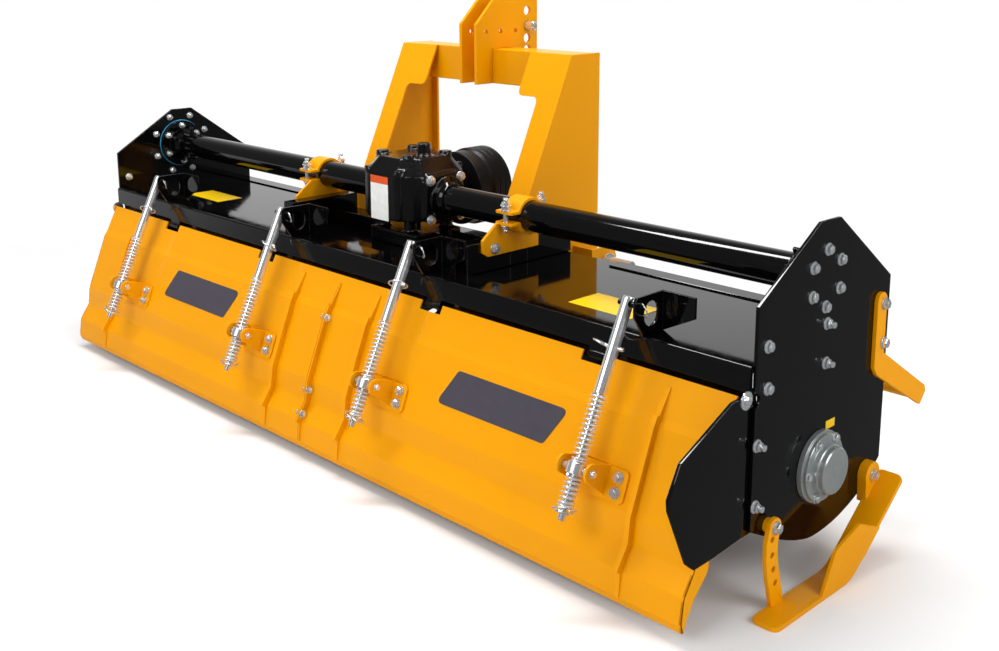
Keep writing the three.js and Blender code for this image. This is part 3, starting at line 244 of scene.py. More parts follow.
def mix_finishes(colours):
    """Every finish of the machine, by name; patterns have their real sizes unless a comment says coarser."""
    panel, enamel, casting, zinc = colours.panel, colours.enamel, colours.casting, colours.zinc
    finishes = {
        # Powder-coated sheet steel: a deep even yellow under a clear gloss. Its orange peel of 3 mm
        # is drawn at 16 mm.
        "yellow_paint": surface(
            "powder_coat_golden_yellow", (shade_of(panel, 0.95), panel), (16, 2), (0.1, 0.5), (0.3, 0.4),
            (420, 3), **{"Specular IOR Level": 0.1, "Coat Weight": 0.22, "Coat Roughness": 0.05},
        ),
        # Sprayed gloss enamel on steel: black, with mirror-like reflections. Its 4 mm ripple is drawn
        # at 24 mm.
        "black_paint": surface(
            "gloss_enamel_black", (enamel, shade_of(enamel, 1.8)), (24, 1.5), (0.05, 0.5), (0.05, 0.09),
            (2.4, 2), (0.55, 0.8), **{"Specular IOR Level": 0.5},
        ),
        # Paint over sand-cast iron: a pitted black skin with a broken shine. Pits of 1 mm are drawn at 5 mm.
        "cast_black": surface(
            "painted_sand_cast_iron", (shade_of(casting, 0.7), shade_of(casting, 1.3)), (5, 4), (0.22, 1.0),
            (0.14, 0.26), **{"Specular IOR Level": 0.45},
        ),
        # Injection-moulded polyethylene: black with a soft leathery sheen. Its 0.5 mm grain is drawn at 3 mm.
        "black_plastic": surface(
            "moulded_polyethylene_black", (linear("09090A"), linear("121213")), (3, 3), (0.2, 0.5),
            (0.32, 0.46), **{"Specular IOR Level": 0.4},
        ),
        # Electroplated zinc, blue passivated: bright, slightly clouded, cool. Crystals under 1 mm are
        # drawn at 1.5 mm.
        "zinc_plate": surface(
            "blue_passivated_zinc_plate", (shade_of(zinc, 0.9), zinc), (1.5, 2), (0.1, 0.2), (0.12, 0.24),
            (9, 3), Metallic=0.8,
        ),
        # Zinc-plated spring wire: brighter than the rods, with fine marks where it was drawn.
        "spring_steel": surface(
            "zinc_plated_spring_wire", (shade_of(zinc, 0.94), shade_of(zinc, 1.1)), (2, 3), (0.12, 0.2),
            (0.18, 0.3), Metallic=0.65,
        ),
        # Phosphated cast steel: an even grey-green housing with a low metal shine.
        "phosphated_steel": surface(
            "phosphated_cast_steel", (linear("AFB6B5"), linear("B6BDBC")), (4, 2), (0.02, 0.1), (0.2, 0.26),
            (60, 2), Metallic=0.65,
        ),
        # Dipped paint on forged blades: a thin satin black skin, scuffed to bare steel in specks.
        "blade_steel": surface(
            "dipped_paint_on_forged_steel", (linear("131314"), linear("6E6C69")), (6, 4), (0.25, 0.8),
            (0.34, 0.5), (26, 6), (0.66, 0.72), worn=True,
        ),
        # Turned, oiled carbon steel: grey metal with tool rings. Rings 0.2 mm apart are drawn every 2 mm.
        "bare_steel": surface(
            "oiled_turned_steel", (linear("8B8D90"), linear("A6A8AA")), (2, 1), (0.1, 0.2), (0.26, 0.36),
            lay=(40, 1, 40), Metallic=1.0,
        ),
        # Cured silicone: a thin lumpy line of dull blue rubber squeezed out under a flange.
        "gasket": surface(
            "cured_silicone_gasket", (linear("1B7AA3"), linear("3FB2DE")), (7, 2), (0.5, 1.0), (0.35, 0.5),
        ),
    }
    # Cast vinyl film: an even printed colour with a low sheen and slight marks from laying.
    for colour, low, high in (
        ("dark", shade_of(colours.label_dark, 0.93), colours.label_dark),
        ("yellow", shade_of(colours.label_yellow, 0.95), colours.label_yellow),
        ("white", linear("E4E4E2"), linear("F0F0EE")),
        ("orange", linear("D84F19"), linear("E2571E")),
    ):
        finishes[f"label_{colour}"] = surface(
            f"vinyl_film_{colour}", (low, high), (18, 2), (0.05, 0.4), (0.3, 0.4),
            **{"Specular IOR Level": 0.3},
        )
    return finishes


FINISH = {}


# ------------------------------------------------------------------------------ mesh helpers


def at(x, y, z):
    """A point of the maker's frame in the row frame, in metres."""
    return Vector((x * MM, (y + ROTOR_Y) * MM, z * MM))


def new_object(name, mesh, finish):
    """An object at the origin that holds a mesh in one finish."""
    obj = bpy.data.objects.new(name, mesh)
    bpy.context.scene.collection.objects.link(obj)
    mesh.materials.clear()
    mesh.materials.append(FINISH[finish])
    return obj


def mesh_from(work, name):
    """The mesh of a finished bmesh."""
    mesh = bpy.data.meshes.new(name)
    work.to_mesh(mesh)
    work.free()
    return mesh


def bake(obj):
    """Turns an object's modifiers into its own mesh."""
    graph = bpy.context.evaluated_depsgraph_get()
    mesh = bpy.data.meshes.new_from_object(
        obj.evaluated_get(graph), preserve_all_data_layers=True, depsgraph=graph,
    )
    obj.modifiers.clear()
    obj.data = mesh
    return obj


def settle(obj, body, slot, *nodes):
    """A finished piece rides on its body and stands for its CAD nodes; its slot is not used."""
    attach(obj, body)
    if nodes:
        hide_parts(*nodes)
    return obj


def smooth(obj, angle=32.0):
    """Smooth shading that stays sharp over an angle in degrees."""
    obj.data.shade_smooth()
    obj.data.set_sharp_from_angle(angle=math.radians(angle))


def ease(obj, width=1.2, segments=2, angle=35.0):
    """Rounds an object's sharp edges by a width in millimetres."""
    bevel = obj.modifiers.new("eased", "BEVEL")
    bevel.width = width * MM
    bevel.segments = segments
    bevel.limit_method = "ANGLE"
    bevel.angle_limit = math.radians(angle)
    bevel.use_clamp_overlap = False
    bevel.miter_outer = "MITER_ARC"
    bake(obj)
    smooth(obj, 40.0)
    even = obj.modifiers.new("even", "WEIGHTED_NORMAL")
    even.keep_sharp = True
    even.weight = 80
    return bake(obj)


def cleaned(mesh_or_node):
    """A bmesh of a CAD node or a mesh, merged, with its flat faces joined."""
    mesh = frame["nodes"][mesh_or_node].data if isinstance(mesh_or_node, str) else mesh_or_node
    work = bmesh.new()
    work.from_mesh(mesh)
    bmesh.ops.remove_doubles(work, verts=work.verts, dist=2e-5)
    bmesh.ops.dissolve_limit(work, angle_limit=math.radians(1.0), verts=work.verts, edges=work.edges)
    return work


def round_edges(work, pick, radius, segments=4):
    """Rounds the edges that a test picks, by a radius in millimetres."""
    edges = [edge for edge in work.edges if pick(*[vert.co / MM for vert in edge.verts])]
    bmesh.ops.bevel(
        work, geom=edges, offset=radius * MM, segments=segments, profile=0.5,
        affect="EDGES", clamp_overlap=True,
    )
    bmesh.ops.triangulate(work, faces=[face for face in work.faces if len(face.verts) > 4])


def pierce(obj, holes):
    """Cuts round holes along X, each (x, y, z, radius, half depth), out of an object."""
    cutters = bmesh.new()
    for x, y, z, radius, depth in holes:
        turn = Matrix.Translation(at(x, y, z)) @ Matrix.Rotation(math.pi / 2, 4, "Y")
        bmesh.ops.create_cone(
            cutters, cap_ends=True, segments=32, radius1=radius * MM, radius2=radius * MM,
            depth=2 * depth * MM, matrix=turn,
        )
    tool = bpy.data.objects.new("cutter", mesh_from(cutters, "cutter"))
    bpy.context.scene.collection.objects.link(tool)
    boolean = obj.modifiers.new("holes", "BOOLEAN")
    boolean.object = tool
    boolean.operation = "DIFFERENCE"
    boolean.solver = "EXACT"
    bake(obj)
    bpy.data.objects.remove(tool)
    work = cleaned(obj.data)
    work.to_mesh(obj.data)
    work.free()


def dressed(node, width=1.2, angle=35.0, rounds=(), holes=(), segments=2):
    """A CAD node's shape with its edges eased, in its own finish."""
    work = cleaned(node)
    for pick, radius in rounds:
        round_edges(work, pick, radius)
    obj = new_object(f"{node}_dressed", mesh_from(work, node), SLOT_OF[node])
    if holes:
        pierce(obj, holes)
    ease(obj, width, segments, angle)
    return settle(obj, BODY_OF[node], SLOT_OF[node], node)


def fillet(points, radius, steps=4, closed=False):
    """A flat line with its corners rounded as far as its sides allow; radius is one or one a point."""
    radii = radius if isinstance(radius, (list, tuple)) else [radius] * len(points)
    rounded = []
    for i, point in enumerate(points):
        corner = Vector(point)
        if not closed and i in (0, len(points) - 1):
            rounded.append(corner)
            continue
        before, after = Vector(points[i - 1]) - corner, Vector(points[(i + 1) % len(points)]) - corner
        half = before.angle(after) / 2
        reach = min(radii[i] / max(math.tan(half), 1e-3), 0.48 * before.length, 0.48 * after.length)
        if reach < 0.2:
            rounded.append(corner)
            continue
        start, end = corner + before.normalized() * reach, corner + after.normalized() * reach
        for step in range(steps + 1):
            share = step / steps
            rounded.append(start * (1 - share) ** 2 + corner * 2 * share * (1 - share) + end * share**2)
    return rounded


def offset_line(points, distance):
    """A line moved to the left of its direction; distance is one or one a point."""
    points = [Vector(point) for point in points]
    distances = distance if isinstance(distance, (list, tuple)) else [distance] * len(points)
    moved = []
    for i, point in enumerate(points):
        ways = [
            (b - a).normalized()
            for a, b in zip(points[max(i - 1, 0) : i + 1], points[max(i, 1) : i + 2])
        ]
        ways = ways or [(points[i] - points[i - 1]).normalized()]
        lefts = [Vector((-way.y, way.x)) for way in ways]
        total = lefts[0] + lefts[-1]
        moved.append(point + total * (distances[i] / (1 + lefts[0].dot(lefts[-1]))))
    return moved


def made(name, work, finish, body="frame", nodes=(), slot=None, eased=None, sharp=32.0):
    """A finished piece from a bmesh: eased, smoothed up to a sharp angle, or left flat."""
    obj = new_object(name, mesh_from(work, name), finish)
    if eased:
        ease(obj, *eased)
    elif sharp:
        smooth(obj, sharp)
    return settle(obj, body, slot or finish, *nodes)


def block(work, low, high):
    """Adds a box between two corners."""
    bmesh.ops.create_cube(work, size=1, matrix=Matrix.LocRotScale((low + high) / 2, None, high - low))


def looped(work, rings, caps=True):
    """Adds faces between rings of vertices, and on the first and last, all pointing outwards."""
    count = len(rings[0])
    faces = [work.faces.new(rings[0]), work.faces.new(rings[-1])] if caps else []
    for low, high in zip(rings, rings[1:] if caps else rings[1:] + rings[:1]):
        for i in range(count):
            faces.append(work.faces.new((low[i], low[(i + 1) % count], high[(i + 1) % count], high[i])))
    bmesh.ops.recalc_face_normals(work, faces=faces)
    return work


def prism(outline, x0, x1, work=None):
    """A closed (y, z) outline drawn out along X between two x."""
    work = work or bmesh.new()
    return looped(work, [[work.verts.new(at(x, y, z)) for y, z in outline] for x in (x0, x1)])


def turned(profile, start, way, work=None, sides=48):
    """A body turned about the line from a point along a way; profile is (radius, distance)."""
    work = work or bmesh.new()
    turn = Vector((0, 0, 1)).rotation_difference(Vector(way).normalized()).to_matrix()
    rings = []
    for radius, distance in profile:
        count = sides if radius > 1e-6 else 1
        ring = []
        for i in range(count):
            angle = 2 * math.pi * (i + 0.5) / count
            spot = Vector((radius * math.cos(angle), radius * math.sin(angle), distance))
            ring.append(work.verts.new(at(*start) + turn @ (spot * MM)))
        rings.append(ring)
    faces = []
    for low, high in zip(rings, rings[1:]):
        for i in range(sides):
            corners = [low[i % len(low)], low[(i + 1) % len(low)]]
            corners += [high[(i + 1) % len(high)], high[i % len(high)]]
            corners = list(dict.fromkeys(corners))
            if len(corners) > 2:
                faces.append(work.faces.new(corners))
    bmesh.ops.recalc_face_normals(work, faces=faces)
    return work


def wire_ring(work, centre, normal, radius, wire, sides=8, steps=28):
    """A closed ring of round wire; lengths in millimetres."""
    turn = Vector((0, 0, 1)).rotation_difference(Vector(normal).normalized()).to_matrix()
    rings = []
    for i in range(steps):
        angle = 2 * math.pi * i / steps
        out = Vector((math.cos(angle), math.sin(angle), 0))
        ring = []
        for j in range(sides):
            around = 2 * math.pi * j / sides
            across, up = wire / 2 * math.cos(around), wire / 2 * math.sin(around)
            ring.append(work.verts.new(centre + turn @ ((out * (radius + across) + Vector((0, 0, up))) * MM)))
        rings.append(ring)
    looped(work, rings, caps=False)


def arc(y, z, radius, start, end, steps):
    """Points of a circular arc, angles in degrees."""
    angles = [math.radians(start + (end - start) * i / steps) for i in range(steps + 1)]
    return [(y + radius * math.cos(a), z + radius * math.sin(a)) for a in angles]


def slab(work, corners, normal, thickness):
    """A thin plate on a flat set of corners, raised along a normal."""
    lift = Vector(normal).normalized() * (thickness * MM)
    looped(work, [[work.verts.new(corner + rise) for corner in corners] for rise in (Vector(), lift)])


def rod_spot(x, distance):
    """The point of a rod's axis at a distance from its top pin, in the maker's frame."""
    return x, ROD_TOP[0] + ROD_WAY[0] * distance, ROD_TOP[1] + ROD_WAY[1] * distance


def on_rod(x, distance):
    """The same point in the row frame, in metres."""
    return at(*rod_spot(x, distance))


def tailgate_face(z):
    """y of the tailgate's outer face at a height, and the face's outward normal there."""
    for (y0, z0), (y1, z1) in zip(TAILGATE_LINE, TAILGATE_LINE[1:]):
        if z1 <= z <= z0:
            way = Vector((y1 - y0, z1 - z0)).normalized()
            return y0 + (y1 - y0) * (z0 - z) / (z0 - z1), Vector((0, way.y, -way.x))
    raise ValueError(f"the tailgate has no face at {z}")


# ------------------------------------------------------------------------------ geometry nodes


def new_geometry_tree(name, sockets):
    """A geometry tree with its geometry in and out and its named inputs."""
    tree = bpy.data.node_groups.new(name, "GeometryNodeTree")
    tree.interface.new_socket("Geometry", in_out="INPUT", socket_type="NodeSocketGeometry")
    tree.interface.new_socket("Geometry", in_out="OUTPUT", socket_type="NodeSocketGeometry")
    for label, kind, default in sockets:
        socket = tree.interface.new_socket(label, in_out="INPUT", socket_type=kind)
        if default is not None:
            socket.default_value = default
    source = tree.nodes.new("NodeGroupInput")
    return tree, source.outputs


def end_geometry_tree(tree, geometry, material):
    """Realizes the instances, sets the material and ends the tree."""
    real = add(tree, "GeometryNodeRealizeInstances", {"Geometry": geometry})
    painted = add(tree, "GeometryNodeSetMaterial", {"Geometry": real.outputs[0], "Material": material})
    add(tree, "NodeGroupOutput", {"Geometry": painted.outputs[0]})


def grow(name, mesh, tree, finish, **values):
    """A plain mesh object from a tree run on a mesh with named input values."""
    obj = new_object(name, mesh, finish)
    modifier = obj.modifiers.new(tree.name, "NODES")
    modifier.node_group = tree
    keys = {item.name: item.identifier for item in tree.interface.items_tree if item.in_out == "INPUT"}
    for label, value in {**values, "Material": FINISH[finish]}.items():
        modifier[keys[label.replace("_", " ")]] = value
    return bake(obj)


def spots(name, rows):
    """A mesh of points, each (place, aim, scale, turn), for the fastener and coil trees."""
    mesh = bpy.data.meshes.new(name)
    mesh.from_pydata([row[0] for row in rows], [], [])
    aims = mesh.attributes.new("aim", "FLOAT_VECTOR", "POINT")
    aims.data.foreach_set("vector", [value for row in rows for value in Vector(row[1]).normalized()])
    for label, column in (("size", 2), ("turn", 3)):
        layer = mesh.attributes.new(label, "FLOAT", "POINT")
        layer.data.foreach_set("value", [row[column] for row in rows])
    return mesh


def placed(tree, points, instance):
    """An instance on each point, turned to its aim and scaled to its size."""
    aim, size, turn = (
        add(tree, "GeometryNodeInputNamedAttribute", {"Name": label}, data_type=kind).outputs["Attribute"]
        for label, kind in (("aim", "FLOAT_VECTOR"), ("size", "FLOAT"), ("turn", "FLOAT"))
    )
    facing = add(tree, "FunctionNodeAlignRotationToVector", {"Vector": aim}, axis="Z")
    spin = add(tree, "ShaderNodeCombineXYZ", {"Z": turn})
    local = add(tree, "FunctionNodeEulerToRotation", {"Euler": spin})
    both = {"Rotation": facing, "Rotate By": local}
    rotation = add(tree, "FunctionNodeRotateRotation", both, rotation_space="LOCAL")
    inputs = {"Points": points, "Instance": instance, "Rotation": rotation, "Scale": size}
    return add(tree, "GeometryNodeInstanceOnPoints", inputs)


def fastener_tree():
    """Washer, chamfered hexagon and thread end on each point."""
    tree, given = new_geometry_tree("hexagon_fastener", [
        ("Washer Radius", "NodeSocketFloat", 0.0145),
        ("Washer Thickness", "NodeSocketFloat", 0.0028),
        ("Head Radius", "NodeSocketFloat", 0.0118),
        ("Head Height", "NodeSocketFloat", 0.0085),
        ("Thread Radius", "NodeSocketFloat", 0.0062),
        ("Thread Length", "NodeSocketFloat", 0.0045),
        ("Material", "NodeSocketMaterial", None),
    ])
    washer_t, head_r, head_h = given["Washer Thickness"], given["Head Radius"], given["Head Height"]
    base_h = add(tree, MATH, {0: head_h, 1: 0.78}, operation="MULTIPLY")
    crown_h = add(tree, MATH, {0: head_h, 1: 0.22}, operation="MULTIPLY")
    crown_r = add(tree, MATH, {0: head_r, 1: 0.84}, operation="MULTIPLY")
    top = add(tree, MATH, {0: washer_t, 1: head_h}, operation="ADD")
    washer_mid = add(tree, MATH, {0: washer_t, 1: 0.5}, operation="MULTIPLY")
    stud_mid = add(tree, MATH, {0: given["Thread Length"], 1: 0.5, 2: top}, operation="MULTIPLY_ADD")
    head_mid = add(tree, MATH, {0: base_h, 1: 0.5, 2: washer_t}, operation="MULTIPLY_ADD")
    crown_low = add(tree, MATH, {0: washer_t, 1: base_h}, operation="ADD")
    whole = tree.nodes.new("GeometryNodeJoinGeometry")
    for kind, corners, sizes, level in (
        ("Cylinder", 24, {"Radius": given["Washer Radius"], "Depth": washer_t}, washer_mid),
        ("Cylinder", 12, {"Radius": given["Thread Radius"], "Depth": given["Thread Length"]}, stud_mid),
        ("Cylinder", 6, {"Radius": head_r, "Depth": base_h}, head_mid),
        ("Cone", 6, {"Radius Bottom": head_r, "Radius Top": crown_r, "Depth": crown_h}, crown_low),
    ):
        inputs = {"Vertices": corners, "Side Segments": 1, "Fill Segments": 1, **sizes}
        part = add(tree, f"GeometryNodeMesh{kind}", inputs)
        mesh = part.outputs["Mesh"]
        if corners > 6:
            sides = {"Geometry": mesh, "Selection": part.outputs["Side"]}
            mesh = add(tree, "GeometryNodeSetShadeSmooth", sides)
        offset = add(tree, "ShaderNodeCombineXYZ", {"Z": level})
        raised = add(tree, "GeometryNodeTransform", {"Geometry": mesh, "Translation": offset})
        tree.links.new(raised.outputs[0], whole.inputs[0])
    end_geometry_tree(tree, placed(tree, given["Geometry"], whole), given["Material"])
    return tree


def coil_tree():
    """A round-wire compression spring with closed ends on each point, along its aim."""
    tree, given = new_geometry_tree("coil_spring", [
        ("Length", "NodeSocketFloat", 0.1),
        ("Radius", "NodeSocketFloat", 0.015),
        ("Wire", "NodeSocketFloat", 0.004),
        ("Turns", "NodeSocketInt", 10),
        ("Material", "NodeSocketMaterial", None),
    ])
    known = {name.lower(): given[name] for name in ("Length", "Radius", "Wire", "Turns")}
    known["share"] = add(tree, "GeometryNodeSplineParameter").outputs["Factor"]
    # Each row names a value, the operation and its terms; a term is a number or an earlier value.
    for name, operation, *terms in (
        ("steps", "MULTIPLY_ADD", "turns", 20.0, 1.0),
        ("turned", "MULTIPLY", "share", "turns"),
        ("angle", "MULTIPLY", "turned", 2 * math.pi),
        ("closed", "DIVIDE", 1.0, "turns"),
        ("half wire", "MULTIPLY", "wire", 0.5),
        ("wire a share", "MULTIPLY", "wire", "turns"),
        ("first", "MINIMUM", "share", "closed"),
        ("last from", "SUBTRACT", 1.0, "closed"),
        ("past last", "SUBTRACT", "share", "last from"),
        ("last", "MAXIMUM", "past last", 0.0),
        ("past first", "SUBTRACT", "share", "first"),
        ("open share", "SUBTRACT", "past first", "last"),
        ("both closed", "MULTIPLY", "closed", 2.0),
        ("open span", "SUBTRACT", 1.0, "both closed"),
        ("closed length", "MULTIPLY", "wire", 3.0),
        ("open length", "SUBTRACT", "length", "closed length"),
        ("open part", "DIVIDE", "open share", "open span"),
        ("open rise", "MULTIPLY", "open part", "open length"),
        ("closed share", "ADD", "first", "last"),
        ("closed rise", "MULTIPLY", "closed share", "wire a share"),
        ("rise", "ADD", "open rise", "closed rise"),
        ("Z", "ADD", "rise", "half wire"),
        ("cosine", "COSINE", "angle"),
        ("sine", "SINE", "angle"),
        ("X", "MULTIPLY", "cosine", "radius"),
        ("Y", "MULTIPLY", "sine", "radius"),
    ):
        inputs = {i: known.get(term, term) for i, term in enumerate(terms)}
        known[name] = add(tree, MATH, inputs, operation=operation)
    spot = add(tree, "ShaderNodeCombineXYZ", {axis: known[axis] for axis in "XYZ"})
    line = add(tree, "GeometryNodeCurvePrimitiveLine", {"End": (0.0, 0.0, 1.0)})
    path = add(tree, "GeometryNodeResampleCurve", {"Curve": line, "Count": known["steps"]})
    helix = add(tree, "GeometryNodeSetPosition", {"Geometry": path, "Position": spot})
    section = add(tree, "GeometryNodeCurvePrimitiveCircle", {"Resolution": 8, "Radius": known["half wire"]})
    sweep = {"Curve": helix, "Profile Curve": section, "Fill Caps": True}
    soft = add(tree, "GeometryNodeSetShadeSmooth", {"Geometry": add(tree, "GeometryNodeCurveToMesh", sweep)})
    end_geometry_tree(tree, placed(tree, given["Geometry"], soft), given["Material"])
    return tree


def station_tree():
    """A rotor station repeated along the shaft, each turned by the stagger."""
    tree, given = new_geometry_tree("rotor_stations", [
        ("Count", "NodeSocketInt", 10),
        ("Start", "NodeSocketVector", (0.0, 0.0, 0.0)),
        ("Pitch", "NodeSocketFloat", 0.2),
        ("Stagger", "NodeSocketFloat", 0.384),
        ("Material", "NodeSocketMaterial", None),
    ])
    step = add(tree, "ShaderNodeCombineXYZ", {"X": given["Pitch"]})
    places = {"Count": given["Count"], "Start Location": given["Start"], "Offset": step}
    row = add(tree, "GeometryNodeMeshLine", places, mode="OFFSET")
    index = add(tree, "GeometryNodeInputIndex")
    angle = add(tree, MATH, {0: index, 1: given["Stagger"]}, operation="MULTIPLY")
    spin = add(tree, "ShaderNodeCombineXYZ", {"X": angle})
    turn = add(tree, "FunctionNodeEulerToRotation", {"Euler": spin})
    inputs = {"Points": row, "Instance": given["Geometry"], "Rotation": turn}
    stations = add(tree, "GeometryNodeInstanceOnPoints", inputs)
    end_geometry_tree(tree, stations, given["Material"])
    return tree


def fasten(name, rows, body, finish="zinc_plate", **sizes):
    """One mesh of hexagon fasteners on a body."""
    settings = bpy.context.scene.tiller_fasteners
    tree = bpy.data.node_groups.get("hexagon_fastener") or fastener_tree()
    values = {key.title(): getattr(settings, key) for key in TillerFasteners.__annotations__}
    return settle(grow(name, spots(name, rows), tree, finish, **{**values, **sizes}), body, finish)


# ------------------------------------------------------------------------------ operators


class TILLER_OT_finishes(bpy.types.Operator):
    """Mix the paints, platings, castings and films"""

    bl_idname = "tiller.finishes"
    bl_label = "Finishes"

    def execute(self, context):
        FINISH.update(mix_finishes(context.scene.tiller_finishes))
        return {"FINISHED"}


class TILLER_OT_panels(bpy.types.Operator):
    """Dress the side plates, hood, beams and brackets"""

    bl_idname = "tiller.panels"
    bl_label = "Frame Panels"

    def execute(self, context):
        for word, _ in SIDES:
            dressed(f"side_plate_{word}", 1.0)
            dressed(f"channel_{word}", 3.0, segments=3)
        for node in ("hood", "rear_beam"):
            dressed(node, 1.0, rounds=[(self.bends, 6.0)])
        dressed("cross_beam", 3.0, segments=3)
        strips = bmesh.new()
        strip = [(152, HOOD_TOP), (198, HOOD_TOP), (198, 509), (152, 509)]
        for _, side in SIDES:
            prism(strip, side * 560, side * 1241, strips)
        made("hood_front_strips", strips, "black_paint", eased=(0.8, 1))
        dressed("rear_deflector")
        for i in range(len(ROD_X)):
            dressed(f"rod_bracket_{i + 1}")
        return {"FINISHED"}

    @staticmethod
    def bends(a, b):
        """Whether an edge runs along X at a sheet's fold, and not at its rim."""
        y, z = a.y - ROTOR_Y, a.z
        folds = ((252, 430), (200, 505), (-234, 505), (-240, 512))
        at_fold = any(math.hypot(y - fold_y, z - fold_z) < 9 for fold_y, fold_z in folds)
        return abs(a.x - b.x) > 2000 and at_fold


class TILLER_OT_drive(bpy.types.Operator):
    """Build the gearbox, cross tubes, guard, drive case and bearing"""

    bl_idname = "tiller.drive"
    bl_label = "Drive Line"

    def execute(self, context):
        self.gearbox()
        self.tubes()
        self.guard()
        self.shaft()
        self.case()
        self.bearing()
        return {"FINISHED"}

    def gearbox(self):
        """The casting with its corner ribs, run together as one soft skin."""
        work = cleaned("gearbox")
        for x, y in ((-64, -100), (64, -100), (-64, 96), (64, 96)):
            block(work, at(x - 8, y - 14, 588), at(x + 8, y + 14, 716))
        obj = new_object("gearbox_casting", mesh_from(work, "gearbox"), "cast_black")
        fuse = obj.modifiers.new("fuse", "REMESH")
        fuse.mode = "VOXEL"
        fuse.voxel_size = 0.0034
        soften = obj.modifiers.new("soften", "SMOOTH")
        soften.factor = 0.6
        soften.iterations = 5
        bake(obj)
        smooth(obj, 180.0)
        settle(obj, "frame", "cast_black", "gearbox")

    def tubes(self):
        """Cross tubes with a collar at the gearbox and a finned flange at the side plate."""
        inner, outer = 124.3, PLATE_IN - GAP
        profile = [
            (0, inner), (58, inner), (60, inner + 2), (60, inner + 12), (58, inner + 14), (46, inner + 16),
            (TUBE_R + 2, inner + 24), (TUBE_R, inner + 30), (TUBE_R, outer - 62), (TUBE_R + 1.5, outer - 58),
            (47, outer - 44), (48, outer - 40), (48, outer - 14), (51, outer - 12), (75, outer - 12),
            (76, outer - 11), (76, outer - 1), (75, outer), (0, outer),
        ]
        for word, side in SIDES:
            work = turned(profile, (0, 0, TUBE_Z), (side, 0, 0), sides=64)
            for i in range(8):
                angle = math.pi * (i + 0.5) / 4
                fin = Matrix.Translation(at(side * (outer - 34), 0, TUBE_Z)) @ Matrix.Rotation(angle, 4, "X")
                size = Matrix.Translation((0, 0, 0.048)) @ Matrix.Diagonal((0.044, 0.007, 0.022, 1))
                bmesh.ops.create_cube(work, size=1, matrix=fin @ size)
            made(f"cross_tube_{word}_turned", work, "black_paint", nodes=[f"cross_tube_{word}"], eased=(0.8,))

    def guard(self):
        """The plastic guard round the input shaft: a back plate, a neck and a ridged bell."""
        rear, step, front, bore = 150.0, 192.0, 262.0, 64.3
        profile = [
            (bore, rear), (100, rear), (102, rear + 2), (102, step - 1), (103, step), (107.4, step + 6),
            (108, step + 8),
        ]
        for ridge in (212.0, 232.0):
            profile += [(108, ridge), (106.6, ridge + 1.5), (106.6, ridge + 4.5), (108, ridge + 6)]
        profile += [
            (108, front - 2), (107, front), (105, front), (104, front - 1), (104, step + 6), (98, step),
            (98, rear + 4), (bore, rear + 4), (bore, rear),
        ]
        work = turned(profile, (0, 0, PTO_Z), (0, 1, 0), sides=72)
        bmesh.ops.remove_doubles(work, verts=work.verts, dist=1e-6)
        made("pto_guard_moulding", work, "black_plastic", nodes=["pto_guard"], eased=(0.5,))

    def shaft(self):
        """The input shaft, with six splines and a locking groove."""
        count = 6
        outline = []
        for i in range(count):
            for share, radius in ((-0.26, 15), (-0.22, 17.4), (0, 17.4), (0.22, 17.4), (0.26, 15), (0.5, 15)):
                angle = 2 * math.pi * (i + share) / count
                outline.append((radius * math.cos(angle), radius * math.sin(angle)))
        levels = [(94, 1.0), (206, 1.0), (207, 0.84), (213, 0.84), (214, 1.0), (243, 1.0), (246, 0.9)]
        work = bmesh.new()
        looped(work, [
            [work.verts.new(at(x * share, y, PTO_Z + z * share)) for x, z in outline] for y, share in levels
        ])
        made("input_shaft_splined", work, "bare_steel", "pto_input", ["input_shaft"], eased=(0.4, 1))

    def case(self):
        """The side drive case: a flange, two raised steps, two bearing covers and cross ribs."""
        face = -(PLATE_X + GAP)
        work = bmesh.new()
        for inset, start, end in ((0, 0, 18), (19, 17, 54), (27, 53, 60)):
            outline = arc(0, TUBE_Z, 88 - inset, 0, 180, 20) + arc(0, ROTOR_Z, 98 - inset, 180, 360, 24)
            prism(outline, face - start, face - end, work)
        cover = [(0, 55), (58, 55), (58, 64), (54, 67.5), (30, 67.5), (27, 65), (0, 65)]
        turned(cover, (face, 0, ROTOR_Z), (-1, 0, 0), work)
        turned([(0, 55), (46, 55), (46, 64), (43, 67.5), (0, 67.5)], (face, 0, TUBE_Z), (-1, 0, 0), work)
        for z in (340, 400, 460, 520, 570):
            block(work, at(face - 56, -60, z - 5), at(face - 30, 60, z + 5))
        made("drive_case_casting", work, "cast_black", nodes=["drive_case"], eased=(2.2, 3))

    def bearing(self):
        """The rotor's bearing housing: a flange, a rim, a shoulder and a domed cap."""
        profile = [
            (0, 0), (75, 0), (76, 1.5), (76, 11), (75, 12), (71, 12.4), (71, 19), (70, 20), (55, 20),
            (53, 21.5), (52.5, 30.5), (51.5, 32), (51, 32), (49.5, 33), (49, 42.5), (46.5, 45), (34, 45),
            (32, 43.4), (12, 43.4), (10, 44.6), (0, 44.6),
        ]
        work = turned(profile, (PLATE_X + GAP, 0, ROTOR_Z), (1, 0, 0), sides=72)
        made(
            "bearing_housing_turned", work, "phosphated_steel", nodes=["bearing_housing"], slot="zinc_plate",
            eased=(0.5, 1, 50.0),
        )


